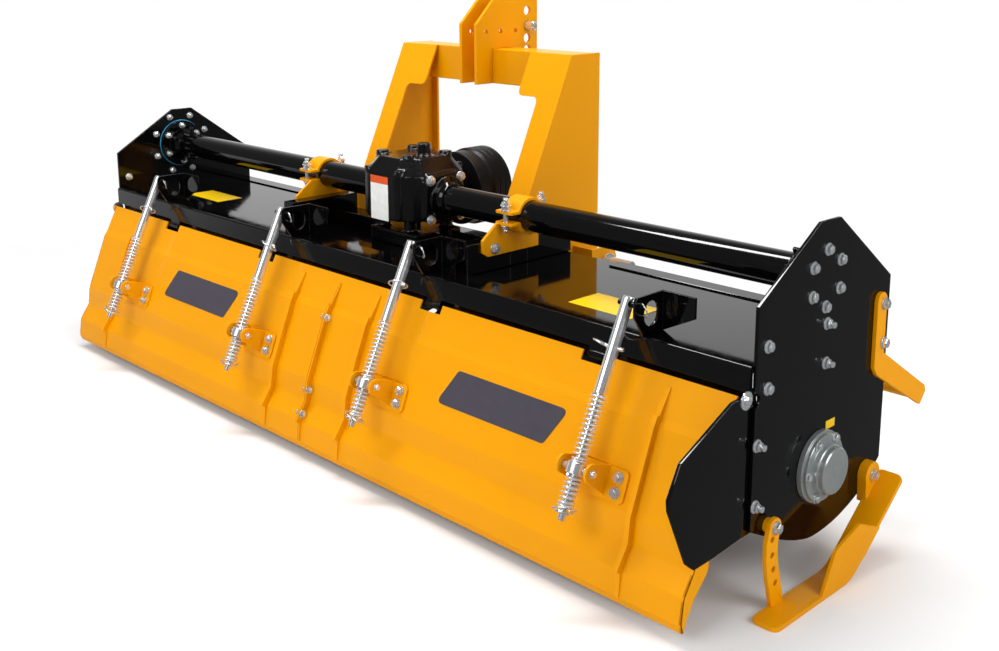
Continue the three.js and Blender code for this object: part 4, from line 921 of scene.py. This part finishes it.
class TILLER_OT_rotor(bpy.types.Operator):
    """Build the rotor's shaft, flanges and blades"""

    bl_idname = "tiller.rotor"
    bl_label = "Rotor"

    def execute(self, context):
        first = 134 - PLATE_IN
        pitch = -2 * first / (STATIONS - 1)
        station = bmesh.new()
        flange = [(42, -5), (94, -5), (95, -4), (95, 4), (94, 5), (42, 5), (42, -5)]
        turned(flange, (0, -ROTOR_Y, 0), (1, 0, 0), station, 40)
        bmesh.ops.remove_doubles(station, verts=station.verts, dist=1e-6)
        blades = [(side, self.blade_turn(side, blade)) for side in (-1, 1) for blade in range(BLADES)]
        for side, turn in blades:
            self.blade(station, side, math.radians(turn))
        obj = grow(
            "rotor_blades", mesh_from(station, "station"), station_tree(), "blade_steel", Count=STATIONS,
            Start=at(first, 0, ROTOR_Z), Pitch=pitch * MM, Stagger=math.radians(STAGGER),
        )
        ease(obj, 0.8, 1, 50.0)
        settle(obj, "rotor", "blade_steel", "rotor")
        end = PLATE_IN - 6.3
        stub = PLATE_X + 33
        profile = [
            (0, -stub), (30, -stub), (30, -end - 1), (41, -end), (42, 1 - end), (42, end - 1), (41, end),
            (30, end + 1), (30, stub), (0, stub),
        ]
        made("rotor_shaft", turned(profile, (0, 0, ROTOR_Z), (1, 0, 0), sides=40), "blade_steel", "rotor")
        rows = []
        for i in range(STATIONS):
            for side, turn in blades:
                angle = math.radians(turn + i * STAGGER)
                for across in (-17, 17):
                    spot = Matrix.Rotation(angle, 3, "X") @ Vector((0, across, 76))
                    place = at(first + i * pitch + side * 13, spot.y, ROTOR_Z + spot.z)
                    rows.append((place, (side, 0, 0), 0.9, angle))
        fasten("rotor_bolts", rows, "rotor", "blade_steel")
        return {"FINISHED"}

    @staticmethod
    def blade_turn(side, blade):
        """Degrees from upright of a blade; those on the right stand between those on the left."""
        return 360 / BLADES * (blade + (0.5 if side > 0 else 0)) + PHASE

    @staticmethod
    def blade(work, side, turn):
        """An L-shaped blade whose wing bends away from its flange."""
        half, sweep, reach, bend, thick, tip = 34.0, 18.0, 88.0, 40.0, 8.0, 233.0
        outer = math.sqrt(tip**2 - (half + sweep) ** 2)
        base = 3.0
        stations = [(base, 54.0, 1.0, 0.0), (base, 100.0, 1.0, 0.0)]
        for i in range(7):
            angle = math.pi / 12 * i
            nx, nz = math.cos(angle), -math.sin(angle)
            stations.append((base + bend * (1 - nx), outer - bend - bend * nz, nx, nz))
        stations.append((base + reach, outer, 0.0, -1.0))
        rings = []
        for i, (x, z, nx, nz) in enumerate(stations):
            share = i / (len(stations) - 1)
            low, high = -half - sweep * share, half - 2 * sweep * share
            edge = thick * (1 - 0.55 * share)
            corners = [(x, low, z), (x, high, z)]
            corners += [(x + nx * thick, high, z + nz * thick), (x + nx * edge, low, z + nz * edge)]
            ring = []
            for across, along, up in corners:
                spot = Vector((side * across, along, up)) * MM
                spot.rotate(Matrix.Rotation(turn, 3, "X"))
                ring.append(work.verts.new(spot))
            rings.append(ring)
        looped(work, rings)


class TILLER_OT_tower(bpy.types.Operator):
    """Dress the hitch tower, clevis, lower hitch and tube clamps"""

    bl_idname = "tiller.tower"
    bl_label = "Hitch Tower"

    def execute(self, context):
        pin_y, pin_z = TOP_PIN
        inner, end = 322, 499
        hitch_pin = [
            (0, inner), (18, inner), (20, inner + 2), (20, 331.5), (14, 331.7), (14, 409.3), (20.5, 409.3),
            (22, 411), (22, 419.5), (20.5, 421), (14, 421), (14, end - 3), (11, end), (0, end),
        ]
        for word, side in SIDES:
            dressed(f"tower_leg_{word}", 1.6, rounds=[(self.gusset, 16.0)])
            holes = [(side * 30, pin_y, pin_z + rise, 13.4, 12) for rise in (0, 42, -35, -68)]
            holes += [(side * 30, y, 1056, 6.4, 12) for y in (235, 290, 348)]
            dressed(f"clevis_plate_{word}", 1.0, rounds=[(self.corner, 10.0)], holes=holes)
            dressed(f"lower_hitch_{word}", 1.4)
            dressed(f"clamp_cap_{word}", 1.4)
            dressed(f"clamp_base_{word}", 1.2)
            name = f"lower_hitch_pin_{word}"
            work = turned(hitch_pin, (0, *HITCH), (side, 0, 0), sides=36)
            made(f"{name}_turned", work, "zinc_plate", nodes=[name])
        dressed("tower_crossbar", 3.0, segments=3)
        profile = [
            (0, -57), (16, -57), (18.5, -55), (18.5, -49), (16, -47), (12.5, -47), (12.5, 61), (9.5, 65),
            (0, 65),
        ]
        work = turned(profile, (0, pin_y, pin_z), (1, 0, 0), sides=32)
        wire_ring(work, at(50, pin_y, pin_z - 6), (0.25, 1, 0.2), 17, 3.2)
        made("top_link_pin_turned", work, "zinc_plate", nodes=["top_link_pin"])
        return {"FINISHED"}

    @staticmethod
    def gusset(a, b):
        """Whether an edge is an outer corner of the gusset below the crossbar."""
        return abs(a.x - b.x) < 1 and all(
            abs(spot.z - 898) < 1 and min(abs(abs(spot.x) - x) for x in (190, 265)) < 1 for spot in (a, b)
        )

    @staticmethod
    def corner(a, b):
        """Whether an edge crosses a clevis plate at one of its outer corners."""
        y, z = a.y - ROTOR_Y, a.z
        return abs(a.x - b.x) > 8 and abs(a.z - b.z) < 0.5 and (z > 1145 or (y > 430 and z < 990))


class TILLER_OT_runners(bpy.types.Operator):
    """Dress the skids, front arms and guard bar"""

    bl_idname = "tiller.runners"
    bl_label = "Skids and Guard Bar"

    def execute(self, context):
        for word, side in SIDES:
            middle = side * (PLATE_X + 17)
            holes = [(middle, y, z, 6.5, 16) for y, z in ((-185, 156), (-183, 123), (-177, 91), (-168, 59))]
            dressed(f"skid_{word}", rounds=[(self.foot_end, 14.0)], holes=holes)
            dressed(f"front_arm_{word}")
        wall, radius, end = 3.5, 17.0, PLATE_X
        profile = [
            (radius - wall, -end), (radius - 1, -end), (radius, 1 - end),
            (radius, end - 1), (radius - 1, end),
            (radius - wall, end), (radius - wall, -end),
        ]
        work = turned(profile, (0, *GUARD_BAR), (1, 0, 0), sides=40)
        bmesh.ops.remove_doubles(work, verts=work.verts, dist=1e-6)
        made("front_guard_bar_turned", work, "yellow_paint", nodes=["front_guard_bar"])
        return {"FINISHED"}

    @staticmethod
    def foot_end(a, b):
        """Whether an edge is a short one at either end of a skid's foot."""
        return abs(a.x - b.x) < 1 and (a - b).length < 14 and not -230 < a.y - ROTOR_Y < 235


class TILLER_OT_tailgate(bpy.types.Operator):
    """Fold the tailgate, with its ribs, flanges and guide brackets"""

    bl_idname = "tiller.tailgate"
    bl_label = "Tailgate"

    def execute(self, context):
        left, right = 2 - PLATE_X, PLATE_X - 30
        radii = [0, 6, 6, 40, 30, 20, 14, 0]
        face = fillet(TAILGATE_LINE, radii, 6)
        work = prism(face + offset_line(face, SHEET_T)[::-1], left, right)
        sheet = new_object("tailgate_folded", mesh_from(work, "sheet"), "yellow_paint")
        pierce(sheet, [(x, -238, 444, 21, 37) for x in (-870, -350, 350, 870)])
        welded = bmesh.new()
        welded.from_mesh(sheet.data)
        flange_line = [Vector(point) for point in TAILGATE_LINE[1:]]
        depths = [48, 48, 48, 48, 36, 18, 6]
        inner = [a + (b - a) * depth for a, b, depth in zip(flange_line, offset_line(flange_line, 1), depths)]
        outline = fillet(flange_line, [0, 6, 40, 30, 20, 14, 0], 5)
        outline += fillet(inner[::-1], [0, 14, 20, 30, 40, 16, 0], 5)
        for x in (left, right - SHEET_T):
            prism(outline, x, x + SHEET_T, welded)
        line = fillet([(-254.5, 432), *TAILGATE_LINE[1:7]], radii[:6] + [0], 5)
        last = len(line) - 1
        heights = [-15 * min(1, max(0.2, 0.7 * i), max(0.2, 0.4 * (last - i))) for i in range(last + 1)]
        rib = offset_line(line, 1) + offset_line(line, heights)[::-1]
        for x, half in ((-1067, 6), (-160, 8), (-3.2, 2.5), (3.2, 2.5), (160, 8), (1067, 6)):
            prism(rib, x - half, x + half, welded)
        sheet.data = mesh_from(welded, "tailgate")
        sheet.data.materials.append(FINISH["yellow_paint"])
        ease(sheet, 1.0)
        settle(sheet, "tailgate", "yellow_paint", "tailgate")
        for i, x in enumerate(ROD_X):
            def plate_corner(a, b, x=x):
                short = (a - b).length < 6.5 and abs(a.x - b.x) < 0.5
                return short and (a.x > x + 86 or a.x < x - 44)
            dressed(f"guide_bracket_{i + 1}", 1.0, rounds=[(plate_corner, 12.0)])
        return {"FINISHED"}


class TILLER_OT_rods(bpy.types.Operator):
    """Build the spring rods, swivel blocks and pins"""

    bl_idname = "tiller.rods"
    bl_label = "Spring Rods"

    def execute(self, context):
        way = Vector((0, *ROD_WAY))
        rod = [
            (0, -15), (9, -15), (12, -13), (13, -9), (13, SHOULDER_AT - 1), (12, SHOULDER_AT),
            (8, SHOULDER_AT), (8, WASHER_AT), (19, WASHER_AT), (20, WASHER_AT + 1), (20, WASHER_AT + 4),
            (19, WASHER_AT + 5), (8, WASHER_AT + 5), (8, ROD_LENGTH - 2), (6, ROD_LENGTH), (0, ROD_LENGTH),
        ]
        low, high = BLOCK_AT - 12, BLOCK_AT + 12
        collar = [
            (8.5, low), (19.5, low), (21, low + 1.5), (21, high - 1.5), (19.5, high), (8.5, high), (8.5, low),
        ]
        trunnion = [(0, 12), (7, 12), (7, 46), (6, 48), (0, 48)]
        cross_pin = [(0, -19), (4, -19), (4, 24), (3, 25), (0, 25)]
        rods, blocks, pins, clips = (bmesh.new() for _ in range(4))
        for i, x in enumerate(ROD_X):
            turned(rod, (x, *ROD_TOP), way, rods, 32)
            turned(collar, (x, *ROD_TOP), way, blocks, 40)
            for _, side in SIDES:
                turned(trunnion, rod_spot(x, BLOCK_AT), (side, 0, 0), blocks, 20)
            turned(cross_pin, rod_spot(x, 92), (1, 0, 0), pins, 14)
            # The rings hang to alternate sides, and the last one lies turned up on its rod.
            lean = 0.35 * (-1) ** i
            if i == 3:
                wire_ring(pins, on_rod(x, 95) - Vector((26, 2, -6)) * MM, (0.2, 0.45, 0.87), 21, 3.4)
            else:
                wire_ring(pins, on_rod(x, 95), (lean, way.y - 0.2, way.z), 23, 3.4)
            wire_ring(pins, on_rod(x, WASHER_AT - 2.2), (-lean * 0.7, way.y, way.z + 0.16), 25, 3.2)
            wire_ring(clips, at(x + 42, ROD_TOP[0], ROD_TOP[1] - 6), (0.4, 1, 0.3), 14, 3)
        bmesh.ops.remove_doubles(blocks, verts=blocks.verts, dist=1e-6)
        piece = new_object("spring_rods_turned", mesh_from(rods, "rods"), "zinc_plate")
        pierce(piece, [(x, *ROD_TOP, 8.8, 30) for x in ROD_X])
        ease(piece, 0.6, 1, 50.0)
        settle(piece, "spring_rods", "zinc_plate", *self.nodes("spring_rod"))
        made("swivel_blocks_turned", blocks, "zinc_plate", "swivel_blocks", self.nodes("swivel_block"))
        made("rod_linch_pins", pins, "zinc_plate", "spring_rods", sharp=60.0)
        made("eye_pin_clips", clips, "zinc_plate", sharp=60.0)
        self.springs(way)
        return {"FINISHED"}

    @staticmethod
    def nodes(stem):
        return [f"{stem}_{i + 1}" for i in range(len(ROD_X))]

    def springs(self, way):
        """Upper springs that the rods' slide squeezes, and lower ones of fixed length."""
        settings = bpy.context.scene.tiller_springs
        tree = coil_tree()
        upper_start, upper_end = SHOULDER_AT + 0.4, BLOCK_AT - 12.4
        springs = {}
        for name, start, end, twist, wire, turns in (
            ("upper", upper_start, upper_end, 0.7, settings.upper_wire, settings.upper_turns),
            ("lower", BLOCK_AT + 13.0, WASHER_AT - 5.5, 0.9, settings.lower_wire, settings.lower_turns),
        ):
            rows = [(on_rod(x, start), way, 1.0, twist * i) for i, x in enumerate(ROD_X)]
            springs[name] = grow(
                f"{name}_springs_coiled", spots(name, rows), tree, "spring_steel", Length=(end - start) * MM,
                Radius=settings.outer_radius - wire / 2, Wire=wire, Turns=turns,
            )
        upper = springs["upper"]
        settle(upper, "spring_rods", "spring_steel", *self.nodes("upper_spring"))
        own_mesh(upper)
        settle(springs["lower"], "spring_rods", "spring_steel")


class TILLER_OT_fasteners(bpy.types.Operator):
    """Fit the bolts, nuts and washers"""

    bl_idname = "tiller.fasteners"
    bl_label = "Fasteners"

    def execute(self, context):
        self.heads()
        self.nuts()
        self.clamp_studs()
        self.hinge_bolts()
        self.tailgate()
        return {"FINISHED"}

    @staticmethod
    def rows(groups, twist):
        """Fasteners from groups of (x, (y, z) spots, aim, scale), each turned a little further."""
        rows = []
        for x, places, aim, size in groups:
            for y, z in places:
                rows.append((at(x, y, z), aim, size, 0.3 + twist * len(rows)))
        return rows

    def heads(self):
        """Bolt heads with washers, on the frame."""
        case_face = -(PLATE_X + 18.3)
        tube_ring = arc(0, TUBE_Z, 58.4, 30, 330, 5)
        groups = [(PLATE_X, [*tube_ring, (-198, 544), (-194, 460)], (1, 0, 0), 1.0)]
        for _, side in SIDES:
            cover = [(y, TUBE_Z + z) for y in (-52, 52) for z in (-52, 52)]
            groups += [
                (side * (PLATE_X + 10.3), [(224.5, 541), (230, 454)], (side, 0, 0), 1.05),
                (side * (PLATE_X + 22), [(-176, 178), (200, 166)], (side, 0, 0), 1.05),
                (side * 124, cover, (side, 0, 0), 1.05),
                (side * 392.6, [(-80, 562)], (side, 0, 0), 1.1),
            ]
        edges = [(y, z) for z in (330, 410, 490, 570) for y in (-82, 82)]
        ends = arc(0, TUBE_Z, 79, 20, 160, 4) + arc(0, ROTOR_Z, 89, 200, 340, 4)
        groups += [
            (PLATE_X + 20.3, arc(0, ROTOR_Z, 65, 0, 300, 5), (1, 0, 0), 0.78),
            (case_face, edges + ends, (-1, 0, 0), 0.62),
        ]
        rows = self.rows(groups, 0.7)
        fasten("frame_bolts", rows, "frame", Thread_Length=0.0008, Thread_Radius=0.006)

    def nuts(self):
        """Nuts with thread ends, on the frame."""
        beam, deflector = [(-198, 544), (-194, 460)], [(-222, 354), (-221, 230)]
        groups = [
            (PLATE_X, [(10, 543), (12, 460.5), *deflector], (1, 0, 0), 1.0),
            (-PLATE_X, beam + deflector, (-1, 0, 0), 1.0),
        ]
        for _, side in SIDES:
            inwards = (-side, 0, 0)
            plate = [spot for spot in arc(0, TUBE_Z, 98, 22.5, 337.5, 7) if side < 0 and spot[1] < 735]
            groups += [
                (side * (PLATE_IN - 12.3), arc(0, TUBE_Z, 60, 30, 330, 5), inwards, 0.8),
                (side * PLATE_IN, plate, inwards, 0.8),
                (side * PLATE_IN, beam, inwards, 0.9),
            ]
            for y in (-61, 61):
                groups += [
                    (side * CLAMP_X, [(y, 656), (y, 667)], (0, 0, 1), 1.0),
                    (side * CLAMP_X, [(y, 620)], (0, 0, -1), 0.9),
                ]
        fasten("frame_nuts", self.rows(groups, 0.9), "frame", Thread_Length=0.009)

    def clamp_studs(self):
        work = bmesh.new()
        for _, side in SIDES:
            for y in (-61, 61):
                turned([(0, 620), (6, 620), (6, 656), (0, 656)], (side * CLAMP_X, y, 0), (0, 0, 1), work, 14)
        made("clamp_studs", work, "zinc_plate")

    def hinge_bolts(self):
        work = bmesh.new()
        dome = [(0, 0), (18, 0), (18, 2.4), (12, 2.6), (11.5, 5.5), (9, 8), (5.5, 9.6), (0, 10.2)]
        turned(dome, (PLATE_IN - GAP, -250, 449), (1, 0, 0), work, 32)
        turned(dome, (-PLATE_X - GAP, -238, 444), (-1, 0, 0), work, 32)
        made("hinge_bolts_domed", work, "zinc_plate")

    def tailgate(self):
        """Rib bolts, guide bracket bolts and the nuts of the swivel blocks."""
        rows = []
        for z in (348, 172, 110):
            y, normal = tailgate_face(z)
            for side, turn in ((1, 0.2), (-1, 0.5)):
                rows.append((at(side * 5.7, y, z) + normal * (7 * MM), (side, 0, 0), 0.8, turn))
        for x in ROD_X:
            for z in (250, 222):
                y, normal = tailgate_face(z)
                rows.append((at(x + 66, y, z) + normal * (5.3 * MM), normal, 0.95, x))
        fasten("tailgate_bolts", rows, "tailgate", Thread_Length=0.003)
        centre = on_rod(0, BLOCK_AT)
        rows = []
        for x in ROD_X:
            for _, side in SIDES:
                rows.append((Vector((x * MM + side * 0.0405, centre.y, centre.z)), (side, 0, 0), 0.7, x))
        fasten("trunnion_nuts", rows, "swivel_blocks", Thread_Length=0.002, Washer_Thickness=0.001)


class TILLER_OT_labels(bpy.types.Operator):
    """Lay the blank films and notice plates"""

    bl_idname = "tiller.labels"
    bl_label = "Blank Labels"

    def execute(self, context):
        self.name_panels()
        self.notices()
        self.gaskets()
        return {"FINISHED"}

    def name_panels(self):
        """Blank slanted panels with rounded corners on the tailgate."""
        work = bmesh.new()
        for left in (462.0, -795.0):
            corners = []
            for x, z in fillet([(0, 256), (339, 256), (385, 335), (46, 335)], 12, 5, closed=True):
                y, normal = tailgate_face(z)
                corners.append(at(left + x, y, z) + normal * (0.2 * MM))
            slab(work, corners, normal, 0.6)
        made("name_panels_blank", work, "label_dark", "tailgate", slot="yellow_paint", sharp=None)

    def notices(self):
        """Blank plates on the hood, the right side plate and the gearbox."""
        work = bmesh.new()
        for x0, x1, y0, y1 in ((-1010, -830, -112, -24), (700, 880, -152, -48)):
            ring = ((x0, y0), (x1, y0), (x1, y1), (x0, y1))
            slab(work, [at(x, y, HOOD_TOP) for x, y in ring], (0, 0, 1), 0.5)
        mark = [at(PLATE_X + 0.2, y, z) for y, z in ((28, 313), (62, 313), (62, 331), (28, 331))]
        slab(work, mark, (1, 0, 0), 0.5)
        made("notice_plates_blank", work, "label_yellow", slot="black_paint", sharp=None)
        for name, finish, low, high in (
            ("gearbox_label_field", "label_white", 578, 675),
            ("gearbox_label_band", "label_orange", 675.2, 695),
        ):
            work = bmesh.new()
            corners = [at(x, -116.5, z) for x, z in ((-42, low), (30, low), (30, high), (-42, high))]
            slab(work, corners, (0, -1, 0), 0.8)
            made(name, work, finish, slot="cast_black", sharp=None)

    def gaskets(self):
        """Sealant squeezed out round the cross tubes' flanges."""
        work = bmesh.new()
        for _, side in SIDES:
            wire_ring(work, at(side * (PLATE_IN - 1.2), 0, TUBE_Z), (1, 0, 0), 77.5, 3.0, 6, 48)
        made("flange_gaskets", work, "gasket", slot="black_paint", sharp=60.0)


class TILLER_OT_stage(bpy.types.Operator):
    """Set the camera, floor, world and lights"""

    bl_idname = "tiller.stage"
    bl_label = "Stage"

    def execute(self, context):
        settings = context.scene.tiller_stage
        self.camera(context, settings)
        self.floor(settings)
        self.world(context, settings)
        middle = Vector((0, 0, 0.5))
        self.light("key", (0.2, -4.2, 2.9), middle, (3.2, 2.2), settings.key_power)
        self.light("side", (4.4, 0.2, 2.2), middle, (2.4, 2.0), settings.side_power)
        self.light("top", (-0.3, 0.3, 3.6), middle, (3.6, 0.5), settings.top_power)
        context.scene.view_settings.view_transform = "Standard"
        return {"FINISHED"}

    def camera(self, context, settings):
        data = bpy.data.cameras.new("camera")
        data.sensor_width = 36.0
        data.lens = settings.lens
        data.shift_x, data.shift_y = -0.0185, -0.12
        data.clip_start, data.clip_end = 0.05, 100.0
        camera = bpy.data.objects.new("camera", data)
        camera.location = (2.4027, -1.9924, 1.2472)
        camera.rotation_euler = (math.pi / 2 - 0.2049, 0.0, 0.7861)
        context.scene.collection.objects.link(camera)
        context.scene.camera = camera

    def light(self, name, place, aim, size, power):
        data = bpy.data.lights.new(name, "AREA")
        data.shape = "RECTANGLE"
        data.size, data.size_y = size
        data.energy = power
        lamp = bpy.data.objects.new(name, data)
        lamp.location = place
        lamp.rotation_euler = (aim - Vector(place)).to_track_quat("-Z", "Y").to_euler()
        bpy.context.scene.collection.objects.link(lamp)

    def floor(self, settings):
        """A pale floor that keeps the shadow and turns to plain white far away."""
        material = bpy.data.materials.new("studio_floor_pale")
        material.use_nodes = True
        tree = material.node_tree
        tree.nodes.clear()
        place = add(tree, "ShaderNodeTexCoord").outputs["Object"]
        flat = add(tree, "ShaderNodeVectorMath", {0: place, 1: (0.62, 1.0, 0.0)}, operation="MULTIPLY")
        away = add(tree, "ShaderNodeVectorMath", {0: flat}, operation="LENGTH").outputs["Value"]
        fade = add(
            tree, "ShaderNodeMapRange", {"Value": away, "From Min": 0.75, "From Max": 1.9},
            interpolation_type="SMOOTHSTEP",
        )
        path = add(tree, "ShaderNodeLightPath").outputs
        camera, mirror = path["Is Camera Ray"], add(
            tree, "ShaderNodeMath", {0: path["Is Glossy Ray"], 1: path["Is Transmission Ray"]},
            operation="MAXIMUM",
        )
        white = add(tree, "ShaderNodeMath", {0: fade, 1: camera}, operation="MULTIPLY")
        share = add(tree, "ShaderNodeMath", {0: white, 1: mirror}, operation="MAXIMUM")
        # Gloss sees the white backdrop to the left and front, and a dark studio elsewhere.
        side = add(tree, "ShaderNodeVectorMath", {0: place, 1: (-0.7, 0.7, 0.0)}, operation="DOT_PRODUCT")
        bright = add(tree, "ShaderNodeMapRange", {
            "Value": side.outputs["Value"], "From Min": 0.3, "From Max": 2.2, "To Min": settings.studio_gloss,
        })
        shine = add(tree, "ShaderNodeMath", {0: bright, 1: camera}, operation="MAXIMUM")
        matt = add(tree, "ShaderNodeBsdfDiffuse", {"Color": settings.floor})
        glow = add(tree, "ShaderNodeEmission", {"Color": (1, 1, 1, 1), "Strength": shine})
        mixed = add(tree, "ShaderNodeMixShader", {0: share, 1: matt, 2: glow})
        add(tree, "ShaderNodeOutputMaterial", {"Surface": mixed})
        work = bmesh.new()
        bmesh.ops.create_grid(work, x_segments=1, y_segments=1, size=12)
        mesh = mesh_from(work, "floor")
        floor = bpy.data.objects.new("floor", mesh)
        mesh.materials.append(material)
        bpy.context.scene.collection.objects.link(floor)

    def world(self, context, settings):
        """White behind the object, a softer sky on its matt surfaces."""
        world = bpy.data.worlds.new("studio")
        world.use_nodes = True
        tree = world.node_tree
        tree.nodes.clear()
        way = add(tree, "ShaderNodeTexCoord").outputs["Generated"]
        facing = add(
            tree, "ShaderNodeVectorMath", {0: way, 1: (-0.62, 0.62, -0.5)}, operation="DOT_PRODUCT",
        ).outputs["Value"]
        shine = add(tree, "ShaderNodeMapRange", {
            "Value": facing, "From Min": 0.1, "From Max": 0.9, "To Min": settings.studio_gloss, "To Max": 1.0,
        }, interpolation_type="SMOOTHSTEP").outputs[0]
        path = add(tree, "ShaderNodeLightPath")
        mirror = add(
            tree, "ShaderNodeMath",
            {0: path.outputs["Is Glossy Ray"], 1: path.outputs["Is Transmission Ray"]}, operation="MAXIMUM",
        )
        extra = add(tree, "ShaderNodeMath", {0: shine, 1: settings.ambient}, operation="SUBTRACT")
        soft = add(tree, "ShaderNodeMath", {0: mirror, 1: extra}, operation="MULTIPLY")
        base = add(tree, "ShaderNodeMath", {0: soft, 1: settings.ambient}, operation="ADD")
        rest = add(tree, "ShaderNodeMath", {0: 1.0, 1: path.outputs["Is Camera Ray"]}, operation="SUBTRACT")
        strength = add(
            tree, "ShaderNodeMath", {0: base, 1: rest, 2: path.outputs["Is Camera Ray"]},
            operation="MULTIPLY_ADD",
        )
        background = add(tree, "ShaderNodeBackground", {"Color": (1, 1, 1, 1), "Strength": strength})
        add(tree, "ShaderNodeOutputWorld", {"Surface": background.outputs[0]})
        context.scene.world = world


OPERATORS = (
    TILLER_OT_finishes,
    TILLER_OT_panels,
    TILLER_OT_drive,
    TILLER_OT_rotor,
    TILLER_OT_tower,
    TILLER_OT_runners,
    TILLER_OT_tailgate,
    TILLER_OT_rods,
    TILLER_OT_fasteners,
    TILLER_OT_labels,
    TILLER_OT_stage,
)
SETTINGS = {
    "tiller_finishes": TillerFinishes,
    "tiller_fasteners": TillerFasteners,
    "tiller_springs": TillerSprings,
    "tiller_stage": TillerStage,
}


class TILLER_PT_panel(bpy.types.Panel):
    """Builds the tiller step by step"""

    bl_idname = "TILLER_PT_panel"
    bl_label = "Rotary Tiller"
    bl_space_type = "VIEW_3D"
    bl_region_type = "UI"
    bl_category = "Tiller"

    def draw(self, context):
        for group, kind in SETTINGS.items():
            box = self.layout.box()
            for name in kind.__annotations__:
                box.prop(getattr(context.scene, group), name)
        for operator in OPERATORS:
            self.layout.operator(operator.bl_idname)


def register():
    for kind in (*SETTINGS.values(), *OPERATORS, TILLER_PT_panel):
        bpy.utils.register_class(kind)
    for group, kind in SETTINGS.items():
        setattr(bpy.types.Scene, group, PointerProperty(type=kind))


def unregister():
    for group in SETTINGS:
        delattr(bpy.types.Scene, group)
    for kind in reversed((*SETTINGS.values(), *OPERATORS, TILLER_PT_panel)):
        bpy.utils.unregister_class(kind)


def main():
    register()
    for operator in OPERATORS:
        group, name = operator.bl_idname.split(".")
        getattr(getattr(bpy.ops, group), name)()


if __name__ == "__main__":
    main()
